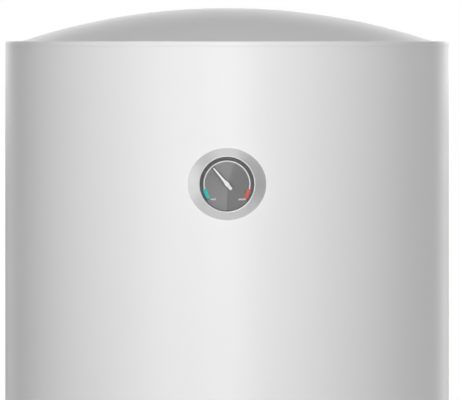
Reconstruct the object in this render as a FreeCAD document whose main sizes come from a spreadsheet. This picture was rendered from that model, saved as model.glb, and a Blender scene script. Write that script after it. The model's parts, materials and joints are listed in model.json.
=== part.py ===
import FreeCAD, Part
import Sketcher
import math
import os
import types

# Wall-hung electric storage water heater, 50 litre class, as an assembly of separate pieces.
#
# Frame: millimetres, +Z up, the front (the thermometer) faces -Y and the wall is the plane Y = 0.
# The origin is the middle of the two wall-bolt slots, on the back face of the hanging bracket.
# The heater's own axis is vertical, at X = 0 and Y = axis_y.
#
# Every driving dimension is a cell of the spreadsheet "Sizes". Size, below, carries a number
# together with its spreadsheet expression, so a sum such as body_r - sheet sets the geometry
# and its binding at once.

SHEET = "Sizes"
DRIVING = {
    # casing
    "body_r": 225.0,          # outside radius of the painted jacket
    "sheet": 0.8,             # jacket and cap sheet thickness
    "wall_gap": 30.0,         # clear space between the wall and the jacket
    "rim_up": 130.0,          # height of the top cap's flat ledge above the slots
    "case_len": 475.0,        # from the top cap's ledge to the bottom cap's ledge
    "lip": 5.0,               # height of a cap's visible rolled lip
    "lip_round": 2.5,         # radius of the lip's outer corner
    "ledge": 17.0,            # width of the flat ring round a cap's dome
    "rise": 33.5,             # height of a cap's dome over its ledge
    "crease": 12.0,           # pressed radius where the dome meets the ledge
    "skirt": 20.0,            # depth of a cap's skirt inside the jacket
    "skirt_fit": 0.6,         # between skirt and jacket
    "joint_gap": 0.3,         # visible joint between lip and jacket
    "seam_w": 12.0,           # folded seam down the back of the jacket
    "seam_out": 1.0,
    # hanging bracket and lower spacer
    "slot_pitch": 180.0,
    "slot_len": 24.0,
    "slot_w": 11.0,
    "bracket_half": 110.0,
    "bracket_tall": 64.0,
    "bracket_t": 3.0,
    "spacer_half": 40.0,
    "spacer_tall": 40.0,
    "spacer_drop": 235.0,     # middle of the lower spacer, below the slots
    "spacer_t": 3.0,
    "pad_t": 4.0,
    # tank
    "tank_r": 196.0,
    "tank_wall": 2.0,
    "crown_r": 400.0,
    "knuckle_r": 25.0,
    "tank_straight": 338.0,
    "tank_sink": 59.0,        # upper weld of the tank, below the top ledge
    # flange group
    "neck_r": 62.0,
    "neck_bore": 50.0,
    "neck_out": 10.0,         # neck face, below the tank's lowest point
    "gasket_t": 3.0,
    "plate_r": 66.0,
    "plate_t": 6.0,
    "stud_ring": 56.0,
    "stud_r": 4.0,
    "stud_len": 29.0,
    "nut_flats": 13.0,
    "nut_tall": 6.5,
    "element_r": 4.25,
    "element_half": 20.0,
    "element_up": 252.0,
    "sheath_r": 5.0,
    "sheath_up": 222.0,
    "anode_r": 11.0,
    "anode_len": 220.0,
    "anode_bolt_r": 4.0,
    # water pipes
    "thread_r": 10.48,        # G 1/2 male thread, outside
    "thread_len": 22.0,
    "pipe_r": 10.65,          # plain pipe behind the thread
    "bore_r": 7.5,
    "pipe_half": 50.0,        # pipes are 100 apart
    "pipe_back": 115.0,       # pipes behind the heater's axis
    "pipe_low": 57.0,         # ends of the pipes, below the bottom ledge
    "pipe_up": 50.0,          # and above it, inside the tank
    "riser_r": 8.0,
    "riser_bore": 6.5,
    "collar_r": 19.0,
    "collar_tall": 9.5,
    # service cover and controls
    "hatch_r": 85.0,
    "foam_well": 108.0,       # clear opening through the bottom insulation
    "cover_r": 105.0,
    "cover_wall_r": 96.0,
    "cover_foot_r": 90.5,
    "cover_deep": 60.0,
    "cover_t": 2.5,
    "cover_rim_t": 3.5,
    "cover_round": 6.0,
    "cover_screw_ring": 100.5,
    "body_top": 19.0,         # thermostat housing, below the bottom ledge
    "body_foot": 47.0,
    "knob_y": 40.0,           # knob in front of the heater's axis
    "knob_r": 18.0,
    "knob_grip_r": 14.0,
    "knob_tall": 15.0,
    "knob_gap": 0.8,
    "spindle_r": 3.0,
    "run_gap": 0.05,          # radial clearance of the small running fits
    "lamp_x": 32.0,
    "lamp_y": 45.0,
    "lamp_r": 4.0,
    "gland_y": 62.0,
    "gland_r": 9.0,
    "gland_bore": 4.2,
    # thermometer
    "gauge_drop": 143.0,      # thermometer's centre below the top ledge
    "dial_r": 27.4,           # visible radius of the dial
    "seat_r": 29.8,           # radius of the seat that holds lens and dial
    "bezel_r": 36.5,          # bezel's radius where it meets the jacket above and below
    "bezel_slope": 0.87,      # outward flare per millimetre of depth
    "bezel_out": 9.0,
    "lens_t": 1.3,
    "lens_back": 5.2,
    "dial_back": 1.0,
    "dial_t": 0.6,
    "case_r": 26.8,
    "case_deep": 16.0,
    "case_wall": 1.6,
    "arbor_r": 0.8,
    "needle_tip": 21.3,
    "needle_tail": 6.8,
    "needle_lean": 40.0,      # degrees left of upright at rest
    "capillary_r": 1.0,
    "bulb_r": 2.9,
    # safety valve
    "valve_hex": 15.6,        # circumradius of the top hexagon
    "valve_r": 12.0,
    "valve_tall": 62.0,
    "valve_grip": 14.0,       # how far the cold pipe enters it
    "branch_r": 9.0,
    "branch_len": 36.0,
    "branch_drop": 28.0,
    "chamber_r": 6.5,
    "stem_r": 1.8,
    "bonnet_end": 40.0,       # bonnet's outer face, from the valve's own axis
    "lever_pin_x": 45.0,
    "lever_pin_r": 0.9,
    "lever_len": 32.0,
    "cam_r": 5.9,
    "check_seat": 54.0,       # seat of the check valve, below the valve's top
    "outlet_x": 22.0,
    "spout_r": 5.0,
}

doc = FreeCAD.newDocument("tank_water_heater")
sheet = doc.addObject("Spreadsheet::Sheet", SHEET)
for row, (alias, value) in enumerate(DRIVING.items(), start=1):
    sheet.set(f"A{row}", alias)
    sheet.set(f"B{row}", str(value))
    sheet.setAlias(f"B{row}", alias)
doc.recompute()


class Size:
    """A number with the spreadsheet expression that gives it."""

    def __init__(self, value, text):
        self.value = float(value)
        self.text = text

    @staticmethod
    def of(other):
        return other if isinstance(other, Size) else Size(other, repr(float(other)))

    def _with(self, other, sign, value):
        return Size(value, f"({self.text} {sign} {Size.of(other).text})")

    def __add__(self, other):
        return self._with(other, "+", self.value + Size.of(other).value)

    def __sub__(self, other):
        return self._with(other, "-", self.value - Size.of(other).value)

    def __mul__(self, other):
        return self._with(other, "*", self.value * Size.of(other).value)

    def __truediv__(self, other):
        return self._with(other, "/", self.value / Size.of(other).value)

    def __radd__(self, other):
        return Size.of(other) + self

    def __rsub__(self, other):
        return Size.of(other) - self

    def __rmul__(self, other):
        return Size.of(other) * self

    def __neg__(self):
        return Size(-self.value, f"(0 - {self.text})")


def root(size):
    return Size(math.sqrt(size.value), f"sqrt({size.text})")


def cell(alias):
    return Size(sheet.get(alias), f"{SHEET}.{alias}")


s = types.SimpleNamespace(**{alias: cell(alias) for alias in DRIVING})


def bind(thing, name, size):
    """Sets a property or constraint from a Size."""
    thing.setExpression(name, Size.of(size).text)


# ---------------------------------------------------------------- placing and primitives

UPRIGHT = (1, 0, 0, 0)
FACING = (1, 0, 0, 90)     # local +Z points out of the front, to -Y, and local +Y points up
FLIPPED = (1, 0, 0, 180)
SIDEWAYS = (0, 1, 0, 90)   # local +Z points along +X


def rotation(turn):
    return FreeCAD.Rotation(FreeCAD.Vector(*turn[:3]), turn[3])


def place(thing, at=(0, 0, 0), turn=UPRIGHT, spin=0.0):
    """Puts a thing at a point made of Sizes. spin turns it about its own +Z first."""
    own = FreeCAD.Rotation(FreeCAD.Vector(0, 0, 1), spin)
    base = FreeCAD.Vector(*[Size.of(c).value for c in at])
    thing.Placement = FreeCAD.Placement(base, rotation(turn) * own)
    for axis, size in zip("xyz", at):
        if isinstance(size, Size):
            bind(thing, f"Placement.Base.{axis}", size)
    return thing


def made(kind, label, sizes, at, turn=UPRIGHT):
    thing = doc.addObject(kind, label)
    thing.Label = label
    for name, size in sizes.items():
        bind(thing, name, size)
    return place(thing, at, turn)


def rod(label, radius, length, at, turn=UPRIGHT):
    return made("Part::Cylinder", label, {"Radius": radius, "Height": length}, at, turn)


def block(label, size, at):
    """A box, at its lowest corner."""
    sides = dict(zip(("Length", "Width", "Height"), size))
    return made("Part::Box", label, sides, at)


def hexagon(label, circumradius, length, at):
    thing = made("Part::Prism", label, {"Circumradius": circumradius, "Height": length}, at)
    thing.Polygon = 6
    return thing


def cut(label, base, *tools):
    tool = tools[0] if len(tools) == 1 else fuse(label + "_tools", *tools)
    thing = doc.addObject("Part::Cut", label)
    thing.Label = label
    thing.Base = base
    thing.Tool = tool
    return thing


def fuse(label, *parts):
    thing = doc.addObject("Part::MultiFuse", label)
    thing.Label = label
    thing.Shapes = list(parts)
    thing.Refine = True
    return thing


def group(label, parts):
    """Separate solids that share one node."""
    thing = doc.addObject("Part::Compound", label)
    thing.Label = label
    thing.Links = list(parts)
    return thing


def ring(label, outer, inner, length, at, turn=UPRIGHT):
    """A tube: inner is cut right through."""
    return cut(label, rod(label + "_outside", outer, length, at, turn),
               rod(label + "_inside", inner, length, at, turn))


# ---------------------------------------------------------------- sketched bodies

def new_body(label):
    body = doc.addObject("PartDesign::Body", label)
    body.Label = label
    return body


def origin_plane(body, role):
    return next(f for f in body.Origin.OriginFeatures if f.Role == role)


def arc_between(start, end, radius, side):
    """The shorter arc from start to end, and whether it runs backwards.

    side is +1 where the arc's centre is on the left of the way from start to end, and -1 on the right.
    """
    half = (end - start) * 0.5
    across = FreeCAD.Vector(-half.y, half.x, 0).normalize()
    centre = start + half + across * (side * math.sqrt(radius ** 2 - half.Length ** 2))
    first, last = (start, end) if side > 0 else (end, start)
    angles = [math.atan2(p.y - centre.y, p.x - centre.x) for p in (first, last)]
    if angles[1] < angles[0]:
        angles[1] += 2 * math.pi
    circle = Part.Circle(centre, FreeCAD.Vector(0, 0, 1), radius)
    return Part.ArcOfCircle(circle, *angles), side < 0


def add_outline(sketch, points, closed=True):
    """Lines and arcs through points. A point is (x, y), or (x, y, radius, side) where an arc leads to it."""
    flat = [FreeCAD.Vector(Size.of(p[0]).value, Size.of(p[1]).value, 0) for p in points]
    steps = list(range(len(points))) if closed else list(range(1, len(points)))
    first = sketch.GeometryCount
    backwards = []
    for i in steps:
        start, end = flat[i - 1], flat[i]
        if len(points[i]) == 4:
            curve, flipped = arc_between(start, end, Size.of(points[i][2]).value, points[i][3])
        else:
            curve, flipped = Part.LineSegment(start, end), False
        backwards.append(flipped)
        sketch.addGeometry(curve, False)
    rules, sizes = [], []
    for n, i in enumerate(steps):
        geometry = first + n
        end_vertex = 1 if backwards[n] else 2
        if n + 1 < len(steps) or closed:
            after = (n + 1) % len(steps)
            rules.append(Sketcher.Constraint("Coincident", geometry, end_vertex,
                                             first + after, 2 if backwards[after] else 1))
        fix_point(rules, sizes, geometry, end_vertex, points[i])
        if len(points[i]) == 4:
            sizes.append((len(rules), points[i][2]))
            rules.append(Sketcher.Constraint("Radius", geometry, Size.of(points[i][2]).value))
    if not closed:
        fix_point(rules, sizes, first, 2 if backwards[0] else 1, points[0])
    add_rules(sketch, rules, sizes)


def fix_point(rules, sizes, geometry, vertex, point):
    for name, size in (("DistanceX", point[0]), ("DistanceY", point[1])):
        sizes.append((len(rules), size))
        rules.append(Sketcher.Constraint(name, -1, 1, geometry, vertex, Size.of(size).value))


def add_circle(sketch, x, y, radius):
    centre = FreeCAD.Vector(Size.of(x).value, Size.of(y).value, 0)
    number = sketch.addGeometry(Part.Circle(centre, FreeCAD.Vector(0, 0, 1), Size.of(radius).value))
    rules, sizes = [], []
    fix_point(rules, sizes, number, 3, (x, y))
    sizes.append((len(rules), radius))
    rules.append(Sketcher.Constraint("Radius", number, Size.of(radius).value))
    add_rules(sketch, rules, sizes)


def add_rules(sketch, rules, sizes):
    before = sketch.ConstraintCount
    sketch.addConstraint(rules)
    for number, size in sizes:
        if isinstance(size, Size):
            bind(sketch, f"Constraints[{before + number}]", size)


def new_sketch(body, name, role, lift=0.0):
    sketch = body.newObject("Sketcher::SketchObject", name)
    sketch.AttachmentSupport = (origin_plane(body, role), [""])
    sketch.MapMode = "FlatFace"
    if isinstance(lift, Size):
        bind(sketch, "AttachmentOffset.Base.z", lift)
    return sketch


def turned(label, points, at=(0, 0, 0), turn=UPRIGHT):
    """A body of revolution about its own Z, from a half outline of (radius, height) points."""
    body = new_body(label)
    sketch = new_sketch(body, label + "_outline", "XZ_Plane")
    add_outline(sketch, points)
    feature = body.newObject("PartDesign::Revolution", label + "_turned")
    feature.Profile = sketch
    feature.ReferenceAxis = (sketch, ["V_Axis"])
    feature.Angle = 360
    return place(body, at, turn)


def padded(label, role, points, depth, at=(0, 0, 0), turn=UPRIGHT, spin=0.0, symmetric=False, holes=()):
    """A straight pad of an outline on one of the body's planes. holes are (x, y, radius)."""
    body = new_body(label)
    sketch = new_sketch(body, label + "_outline", role)
    add_outline(sketch, points)
    for hole in holes:
        add_circle(sketch, *hole)
    feature = body.newObject("PartDesign::Pad", label + "_pad")
    feature.Profile = sketch
    feature.SideType = "Symmetric" if symmetric else "One side"
    bind(feature, "Length", depth)
    return place(body, at, turn, spin)


def pocket(body, name, role, outlines=(), circles=(), way="both", lift=0.0):
    """Cuts outlines and circles, both ways from the plane or only "along" or "against" its normal."""
    sketch = new_sketch(body, name + "_outline", role, lift)
    for points in outlines:
        add_outline(sketch, points)
    for circle in circles:
        add_circle(sketch, *circle)
    feature = body.newObject("PartDesign::Pocket", name)
    feature.Profile = sketch
    feature.SideType = "Symmetric" if way == "both" else "One side"
    feature.Reversed = way == "along"
    feature.Type = "ThroughAll"


def rectangle(x0, y0, x1, y1):
    return [(x0, y0), (x1, y0), (x1, y1), (x0, y1)]


def round_edges(body, radius, wanted):
    """Fillets the edges of the body's tip that wanted(edge) picks."""
    doc.recompute()
    tip = body.Tip
    names = [f"Edge{n}" for n, edge in enumerate(tip.Shape.Edges, start=1)
             if not edge.Degenerated and wanted(edge)]
    if not names:
        raise RuntimeError(f"{body.Label}: no edge to round")
    fillet = body.newObject("PartDesign::Fillet", body.Label + "_round")
    fillet.Base = (tip, names)
    bind(fillet, "Radius", radius)


def is_circle(radius, height):
    """Picks the circular edge about local Z with that radius and height."""
    def wanted(edge):
        curve = edge.Curve
        return (isinstance(curve, Part.Circle)
                and abs(curve.Radius - Size.of(radius).value) < 1e-3
                and abs(curve.Center.z - Size.of(height).value) < 1e-3)
    return wanted


def bent_tube(label, role, points, radius, at=(0, 0, 0)):
    """A round rod swept along an open path that starts along local Z."""
    body = new_body(label)
    spine = new_sketch(body, label + "_path", role)
    add_outline(spine, points, closed=False)
    section = new_sketch(body, label + "_section", "XY_Plane", Size.of(points[0][1]))
    x, y = (points[0][0], 0.0) if role == "XZ_Plane" else (0.0, points[0][0])
    add_circle(section, x, y, radius)
    pipe = body.newObject("PartDesign::AdditivePipe", label + "_pipe")
    pipe.Profile = section
    pipe.Spine = (spine, [])
    return place(body, at)


def wire_tube(label, points, radius, bend):
    """A wire along points, each corner rounded to one bend radius."""
    corners = [FreeCAD.Vector(*[Size.of(c).value for c in p]) for p in points]
    edges, here = [], corners[0]
    for before, corner, after in zip(corners, corners[1:], corners[2:]):
        back, on = (before - corner).normalize(), (after - corner).normalize()
        half = back.getAngle(on) / 2
        reach = bend / math.tan(half)
        start, end = corner + back * reach, corner + on * reach
        centre = corner + (back + on).normalize() * (bend / math.sin(half))
        middle = centre + (corner - centre).normalize() * bend
        edges += [Part.LineSegment(here, start).toShape(), Part.Arc(start, middle, end).toShape()]
        here = end
    edges.append(Part.LineSegment(here, corners[-1]).toShape())
    path = Part.Wire(edges)
    section = Part.Wire(Part.Circle(corners[0], corners[1] - corners[0], radius).toShape())
    thing = doc.addObject("Part::Feature", label)
    thing.Label = label
    thing.Shape = path.makePipeShell([section], True, True)
    return thing


def coil_spring(label, coil_r, wire_r, length, turns, at, turn=UPRIGHT):
    helix = Part.makeHelix(length / turns, length, coil_r)
    tangent = FreeCAD.Vector(0, 2 * math.pi * coil_r, length / turns)
    section = Part.Wire(Part.Circle(FreeCAD.Vector(coil_r, 0, 0), tangent, wire_r).toShape())
    thing = doc.addObject("Part::Feature", label)
    thing.Label = label
    thing.Shape = Part.Wire(helix.Edges).makePipeShell([section], True, True)
    return place(thing, at, turn)


# ---------------------------------------------------------------- sizes that follow from the driving ones

axis_y = -(s.wall_gap + s.body_r)
front_y = axis_y - s.body_r
foot = s.rim_up - s.case_len                 # the bottom cap's ledge
jacket_in = s.body_r - s.sheet
skirt_out = jacket_in - s.skirt_fit
skirt_in = skirt_out - s.sheet
chord = s.body_r - s.ledge
dome_r = (chord * chord + s.rise * s.rise) / (s.rise * 2)
tank_high = s.rim_up - s.tank_sink
tank_low = tank_high - s.tank_straight
knuckle_x = s.tank_r - s.knuckle_r
knuckle_gap = s.crown_r - s.knuckle_r
crown_drop = root(knuckle_gap * knuckle_gap - knuckle_x * knuckle_x)
neck_face = tank_low - s.crown_r + crown_drop - s.neck_out
plate_top = neck_face - s.gasket_t
plate_face = plate_top - s.plate_t


def dome_up(radius, inset=0.0):
    """Height over the ledge of a cap's dome at a radius, for the surface inset below it."""
    sphere = dome_r - inset
    return root(sphere * sphere - Size.of(radius) * radius) + s.rise - dome_r


def crown_up(radius, inset=0.0):
    """Height over the weld of a tank end's crown at a radius."""
    sphere = s.crown_r - inset
    return root(sphere * sphere - Size.of(radius) * radius) - crown_drop


def crown_meets_knuckle(inset=0.0):
    share = (s.crown_r - inset) / knuckle_gap
    return knuckle_x * share, crown_drop * share - crown_drop


def on_axis(z):
    """A point of the heater's own axis."""
    return (0, axis_y, z)


def below(x, front, down=0.0):
    """A point by its distance in front of the heater's axis and below the bottom ledge."""
    return (x, axis_y - front, foot - down)


def dome_ball(label, inset=0.0):
    """The ball whose surface is the bottom cap's dome."""
    return made("Part::Sphere", label, {"Radius": dome_r - inset}, on_axis(foot - s.rise + dome_r))


def polar(radius, count, first=0.0):
    """Points evenly round a ring."""
    for n in range(count):
        angle = math.radians(first + 360.0 * n / count)
        yield radius * math.cos(angle), radius * math.sin(angle)


# ---------------------------------------------------------------- casing

PIPES = {"hot": -s.pipe_half, "cold": s.pipe_half}
SCREW_SPOTS = list(polar(s.cover_screw_ring, 4, 45.0))


def cap(label, at, turn):
    """A pressed cap: domed, with a flat ledge, a rolled lip and a skirt. Local Z = 0 is the ledge."""
    under = dome_r - s.sheet
    chord_in = root(under * under - (dome_r - s.rise - s.sheet) * (dome_r - s.rise - s.sheet))
    body = turned(label, [
        (0, s.rise),
        (chord, 0, dome_r, -1),
        (s.body_r - s.lip_round, 0),
        (s.body_r, -s.lip_round, s.lip_round, -1),
        (s.body_r, -s.lip),
        (skirt_out, -s.lip),
        (skirt_out, -s.skirt),
        (skirt_in, -s.skirt),
        (skirt_in, -s.sheet),
        (chord_in, -s.sheet),
        (0, s.rise - s.sheet, under, 1),
    ], at, turn)
    round_edges(body, s.crease, is_circle(chord, 0))
    return body


cap("top_cap", on_axis(s.rim_up), UPRIGHT)
bottom_cap = cap("bottom_cap", on_axis(foot), FLIPPED)
pocket(bottom_cap, "hatch", "XY_Plane", circles=[(0, 0, s.hatch_r)])
pocket(bottom_cap, "pipe_holes", "XY_Plane",
       circles=[(x, -s.pipe_back, s.pipe_r + 1.5) for x in PIPES.values()])
pocket(bottom_cap, "screw_holes", "XY_Plane", circles=[(x, y, 1.7) for x, y in SCREW_SPOTS])


def leg_slots(outer, thickness, middle, tall, clear):
    """Outlines of the two openings for a channel's legs, on the XZ plane."""
    for side in (-1, 1):
        near = (outer - thickness - clear) * side
        far = (outer + clear) * side
        low, high = middle - tall / 2 - clear, middle + tall / 2 + clear
        yield rectangle(near, low, far, high)


WALL_LEGS = [*leg_slots(s.bracket_half, s.bracket_t, Size.of(0), s.bracket_tall, 0.5),
             *leg_slots(s.spacer_half, s.spacer_t, -s.spacer_drop, s.spacer_tall, 0.5)]

jacket_low, jacket_high = foot + s.lip + s.joint_gap, s.rim_up - s.lip - s.joint_gap
gauge_z = s.rim_up - s.gauge_drop
outer_jacket = turned("outer_jacket", rectangle(jacket_in, jacket_low, s.body_r, jacket_high), on_axis(0))
seam = new_sketch(outer_jacket, "seam_outline", "XY_Plane", jacket_low)
add_outline(seam, rectangle(-s.seam_w / 2, jacket_in + 0.3, s.seam_w / 2, s.body_r + s.seam_out))
seam_pad = outer_jacket.newObject("PartDesign::Pad", "seam")
seam_pad.Profile = seam
bind(seam_pad, "Length", jacket_high - jacket_low)
pocket(outer_jacket, "gauge_hole", "XZ_Plane", circles=[(0, gauge_z, s.case_r + 0.7)], way="along")
pocket(outer_jacket, "leg_holes", "XZ_Plane", outlines=WALL_LEGS, way="against")


# ---------------------------------------------------------------- hanging bracket and spacer

def channel(label, half, thickness, back, middle, tall, bend):
    """A strip bent to a U whose two legs run from the wall side to the tank."""
    reach = -axis_y - back
    inside = bend - thickness
    body = padded(label, "XY_Plane", [
        (-half, -reach),
        (-half, -bend),
        (-half + bend, 0, bend, -1),
        (half - bend, 0),
        (half, -bend, bend, -1),
        (half, -reach),
        (half - thickness, -reach),
        (half - thickness, -bend),
        (half - bend, -thickness, inside, 1),
        (-half + bend, -thickness),
        (-half + thickness, -bend, inside, 1),
        (-half + thickness, -reach),
    ], tall, (0, -Size.of(back), middle), symmetric=True)
    return body


def slot(label, x):
    reach = s.slot_len / 2 - s.slot_w / 2
    depth = s.bracket_t + 2
    ends = [rod(f"{label}_end{n}", s.slot_w / 2, depth, (x + reach * n, 1, 0), FACING) for n in (-1, 1)]
    middle = block(label + "_middle", (reach * 2, depth, s.slot_w), (x - reach, 1 - depth, -s.slot_w / 2))
    return fuse(label, middle, *ends)


def tank_column(label):
    return rod(label, s.tank_r, s.case_len, on_axis(foot))


hanging_channel = channel("hanging_channel", s.bracket_half, s.bracket_t, 0, 0, s.bracket_tall, 5.0)
cut("hanging_bracket", hanging_channel, slot("slot_left", -s.slot_pitch / 2),
    slot("slot_right", s.slot_pitch / 2), tank_column("bracket_column"))
spacer_channel = channel("spacer_channel", s.spacer_half, s.spacer_t, s.pad_t, -s.spacer_drop,
                         s.spacer_tall, 5.0)
cut("lower_spacer", spacer_channel, tank_column("spacer_column"))
padded("spacer_pad", "XZ_Plane", [
    (-s.spacer_half + 4, -s.spacer_tall / 2 + 4),
    (s.spacer_half - 4, -s.spacer_tall / 2 + 4),
    (s.spacer_half - 4, s.spacer_tall / 2 - 4),
    (-s.spacer_half + 4, s.spacer_tall / 2 - 4),
], s.pad_t, (0, 0, -s.spacer_drop))


# ---------------------------------------------------------------- tank

def tank_end(label, z, turn):
    """A dished end: a crown and a knuckle. Local Z = 0 is the weld to the shell."""
    out, into = crown_meets_knuckle(), crown_meets_knuckle(s.tank_wall)
    return turned(label, [
        (0, crown_up(0)),
        (*out, s.crown_r, -1),
        (s.tank_r, 0, s.knuckle_r, -1),
        (s.tank_r - s.tank_wall, 0),
        (*into, s.knuckle_r - s.tank_wall, 1),
        (0, crown_up(0, s.tank_wall), s.crown_r - s.tank_wall, 1),
    ], on_axis(z), turn)


ring("tank_shell", s.tank_r, s.tank_r - s.tank_wall, s.tank_straight, on_axis(tank_low))
tank_end("tank_top_end", tank_high, UPRIGHT)
tank_bottom_end = tank_end("tank_bottom_end", tank_low, FLIPPED)
pocket(tank_bottom_end, "neck_hole", "XY_Plane", circles=[(0, 0, s.neck_bore)])
pocket(tank_bottom_end, "tank_pipe_holes", "XY_Plane",
       circles=[(x, -s.pipe_back, s.pipe_r + 0.1) for x in PIPES.values()])


# ---------------------------------------------------------------- flange, heating element, anode

STUDS = list(polar(s.stud_ring, 6))
STUD_SUNK = 8.0            # depth of a stud in the neck
neck_ring = padded("neck_ring", "XY_Plane", [], s.neck_out + 8, on_axis(neck_face),
                   holes=[(0, 0, s.neck_r), (0, 0, s.neck_bore)])
crown_ball = made("Part::Sphere", "crown_ball", {"Radius": s.crown_r}, on_axis(tank_low + crown_drop))
stud_holes = [rod(f"stud_hole{n}", s.stud_r + 0.05, STUD_SUNK, (x, axis_y + y, neck_face))
              for n, (x, y) in enumerate(STUDS)]
cut("flange_neck", neck_ring, crown_ball, *stud_holes)
stud_foot = neck_face + STUD_SUNK - s.stud_len
group("flange_studs", [rod(f"stud{n}", s.stud_r, s.stud_len, (x, axis_y + y, stud_foot))
                       for n, (x, y) in enumerate(STUDS)])
nut_corner = s.nut_flats / math.sqrt(3)
nuts = []
for n, (x, y) in enumerate(STUDS):
    spot = (x, axis_y + y, plate_face - s.nut_tall)
    nuts.append(cut(f"nut{n}", hexagon(f"nut{n}_hex", nut_corner, s.nut_tall, spot),
                    rod(f"nut{n}_bore", s.stud_r + 0.02, s.nut_tall, spot)))
group("flange_nuts", nuts)
clear_studs = [(x, y, s.stud_r + 0.5) for x, y in STUDS]
padded("flange_gasket", "XY_Plane", [], s.gasket_t, on_axis(plate_top),
       holes=[(0, 0, s.neck_r), (0, 0, s.neck_bore), *clear_studs])

ELEMENT_Y, SHEATH_Y, ANODE_Y = 5.0, 28.0, -32.0
padded("flange_plate", "XY_Plane", [], s.plate_t, on_axis(plate_face), holes=[
    (0, 0, s.plate_r),
    *clear_studs,
    (-s.element_half, ELEMENT_Y, s.element_r + 0.1),
    (s.element_half, ELEMENT_Y, s.element_r + 0.1),
    (0, SHEATH_Y, s.sheath_r + 0.1),
    (0, ANODE_Y, s.anode_bolt_r + 0.1),
])

element_turn = s.element_up + 20
element_tube = bent_tube("element_tube", "XZ_Plane", [
    (-s.element_half, 0),
    (-s.element_half, element_turn),
    (0, element_turn + s.element_half, s.element_half, -1),
    (s.element_half, element_turn, s.element_half, -1),
    (s.element_half, 0),
], s.element_r, (0, axis_y + ELEMENT_Y, plate_face - 4))
pins = [rod(f"element_pin{side}", 2.0, 8.0, (s.element_half * side, axis_y + ELEMENT_Y, plate_face - 12))
        for side in (-1, 1)]
fuse("heating_element", element_tube, *pins)

turned("thermostat_sheath", [
    (s.sheath_r - 1, 0),
    (s.sheath_r, 0),
    (s.sheath_r, s.sheath_up),
    (0, s.sheath_up),
    (0, s.sheath_up - 1.5),
    (s.sheath_r - 1, s.sheath_up - 1.5),
], (0, axis_y + SHEATH_Y, plate_face - 1))
anode_at = (0, axis_y + ANODE_Y, plate_top + 8)
cut("anode_rod", rod("anode_bar", s.anode_r, s.anode_len, anode_at),
    rod("anode_tap", s.anode_bolt_r + 0.05, 16, anode_at))
fuse("anode_bolt", hexagon("anode_bolt_head", 7.5, 5.0, (0, axis_y + ANODE_Y, plate_face - 5)),
     rod("anode_bolt_shank", s.anode_bolt_r, s.plate_t + 22, (0, axis_y + ANODE_Y, plate_face)))


# ---------------------------------------------------------------- pipes

for name, x in PIPES.items():
    turned(name + "_nipple", [
        (s.bore_r, 0),
        (s.thread_r - 1, 0),
        (s.thread_r, 1),
        (s.thread_r, s.thread_len + 1),
        (s.pipe_r, s.thread_len + 1.5),
        (s.pipe_r, s.pipe_low + s.pipe_up),
        (s.bore_r, s.pipe_low + s.pipe_up),
    ], below(x, -s.pipe_back, s.pipe_low))
    collar = ring(name + "_collar_ring", s.collar_r, s.pipe_r + 0.1, 20,
                  below(x, -s.pipe_back, dome_up(s.pipe_back + 10) + s.collar_tall))
    cut(name + "_collar", collar, dome_ball(name + "_collar_seat", -0.05))
pipe_top = foot + s.pipe_up
ring("hot_riser", s.riser_r, s.riser_bore, tank_high + 30 - pipe_top,
     (-s.pipe_half, axis_y + s.pipe_back, pipe_top))
cold_diffuser = turned("cold_diffuser", [
    (s.pipe_r + 0.1, -8),
    (s.pipe_r + 1.6, -8),
    (s.pipe_r + 1.6, 14),
    (0, 14),
    (0, 12.5),
    (s.pipe_r + 0.1, 12.5),
], (s.pipe_half, axis_y + s.pipe_back, pipe_top))
for plane in ("XZ_Plane", "YZ_Plane"):
    pocket(cold_diffuser, "windows_" + plane[:2], plane, outlines=[rectangle(-5, 2, 5, 10)])


# ---------------------------------------------------------------- insulation

def foam_end(label, weld, well, at, turn):
    """Insulation between a tank end and its cap. Local Z = 0 is the cap's ledge."""
    gap = s.sheet + 0.2
    rim = skirt_in - 0.3
    ball = dome_r - gap
    ledge_in = root(ball * ball - (dome_r - s.rise - gap) * (dome_r - s.rise - gap))
    knuckle = crown_meets_knuckle()
    return turned(label, [
        (well, crown_up(well) - weld),
        (knuckle[0], knuckle[1] - weld, s.crown_r, -1),
        (s.tank_r, -weld, s.knuckle_r, -1),
        (rim, -weld),
        (rim, -gap),
        (ledge_in, -gap),
        (well, dome_up(well, gap), ball, 1),
    ], at, turn)


foam_end("top_foam", s.tank_sink, Size.of(0), on_axis(s.rim_up), UPRIGHT)
bottom_foam = foam_end("bottom_foam", tank_low - foot, s.foam_well, on_axis(foot), FLIPPED)
pocket(bottom_foam, "foam_pipe_holes", "XY_Plane",
       circles=[(x, -s.pipe_back, s.pipe_r + 0.3) for x in PIPES.values()])
side_foam = turned("side_foam", rectangle(s.tank_r, tank_low, jacket_in, tank_high), on_axis(0))
pocket(side_foam, "foam_gauge_hole", "XZ_Plane", circles=[(0, gauge_z, s.case_r + 1.2)], way="along")
pocket(side_foam, "foam_groove", "XZ_Plane", way="along",
       outlines=[rectangle(-6, gauge_z - 182, 6, gauge_z - 20)])
pocket(side_foam, "foam_leg_holes", "XZ_Plane", outlines=WALL_LEGS, way="against")


# ---------------------------------------------------------------- service cover and its fittings
# Bodies here are flipped: local +Z points down, local +Y to the front and Z = 0 is the bottom ledge.

def cover_seat(radius, rise=0.1):
    return dome_up(radius) + rise


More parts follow.
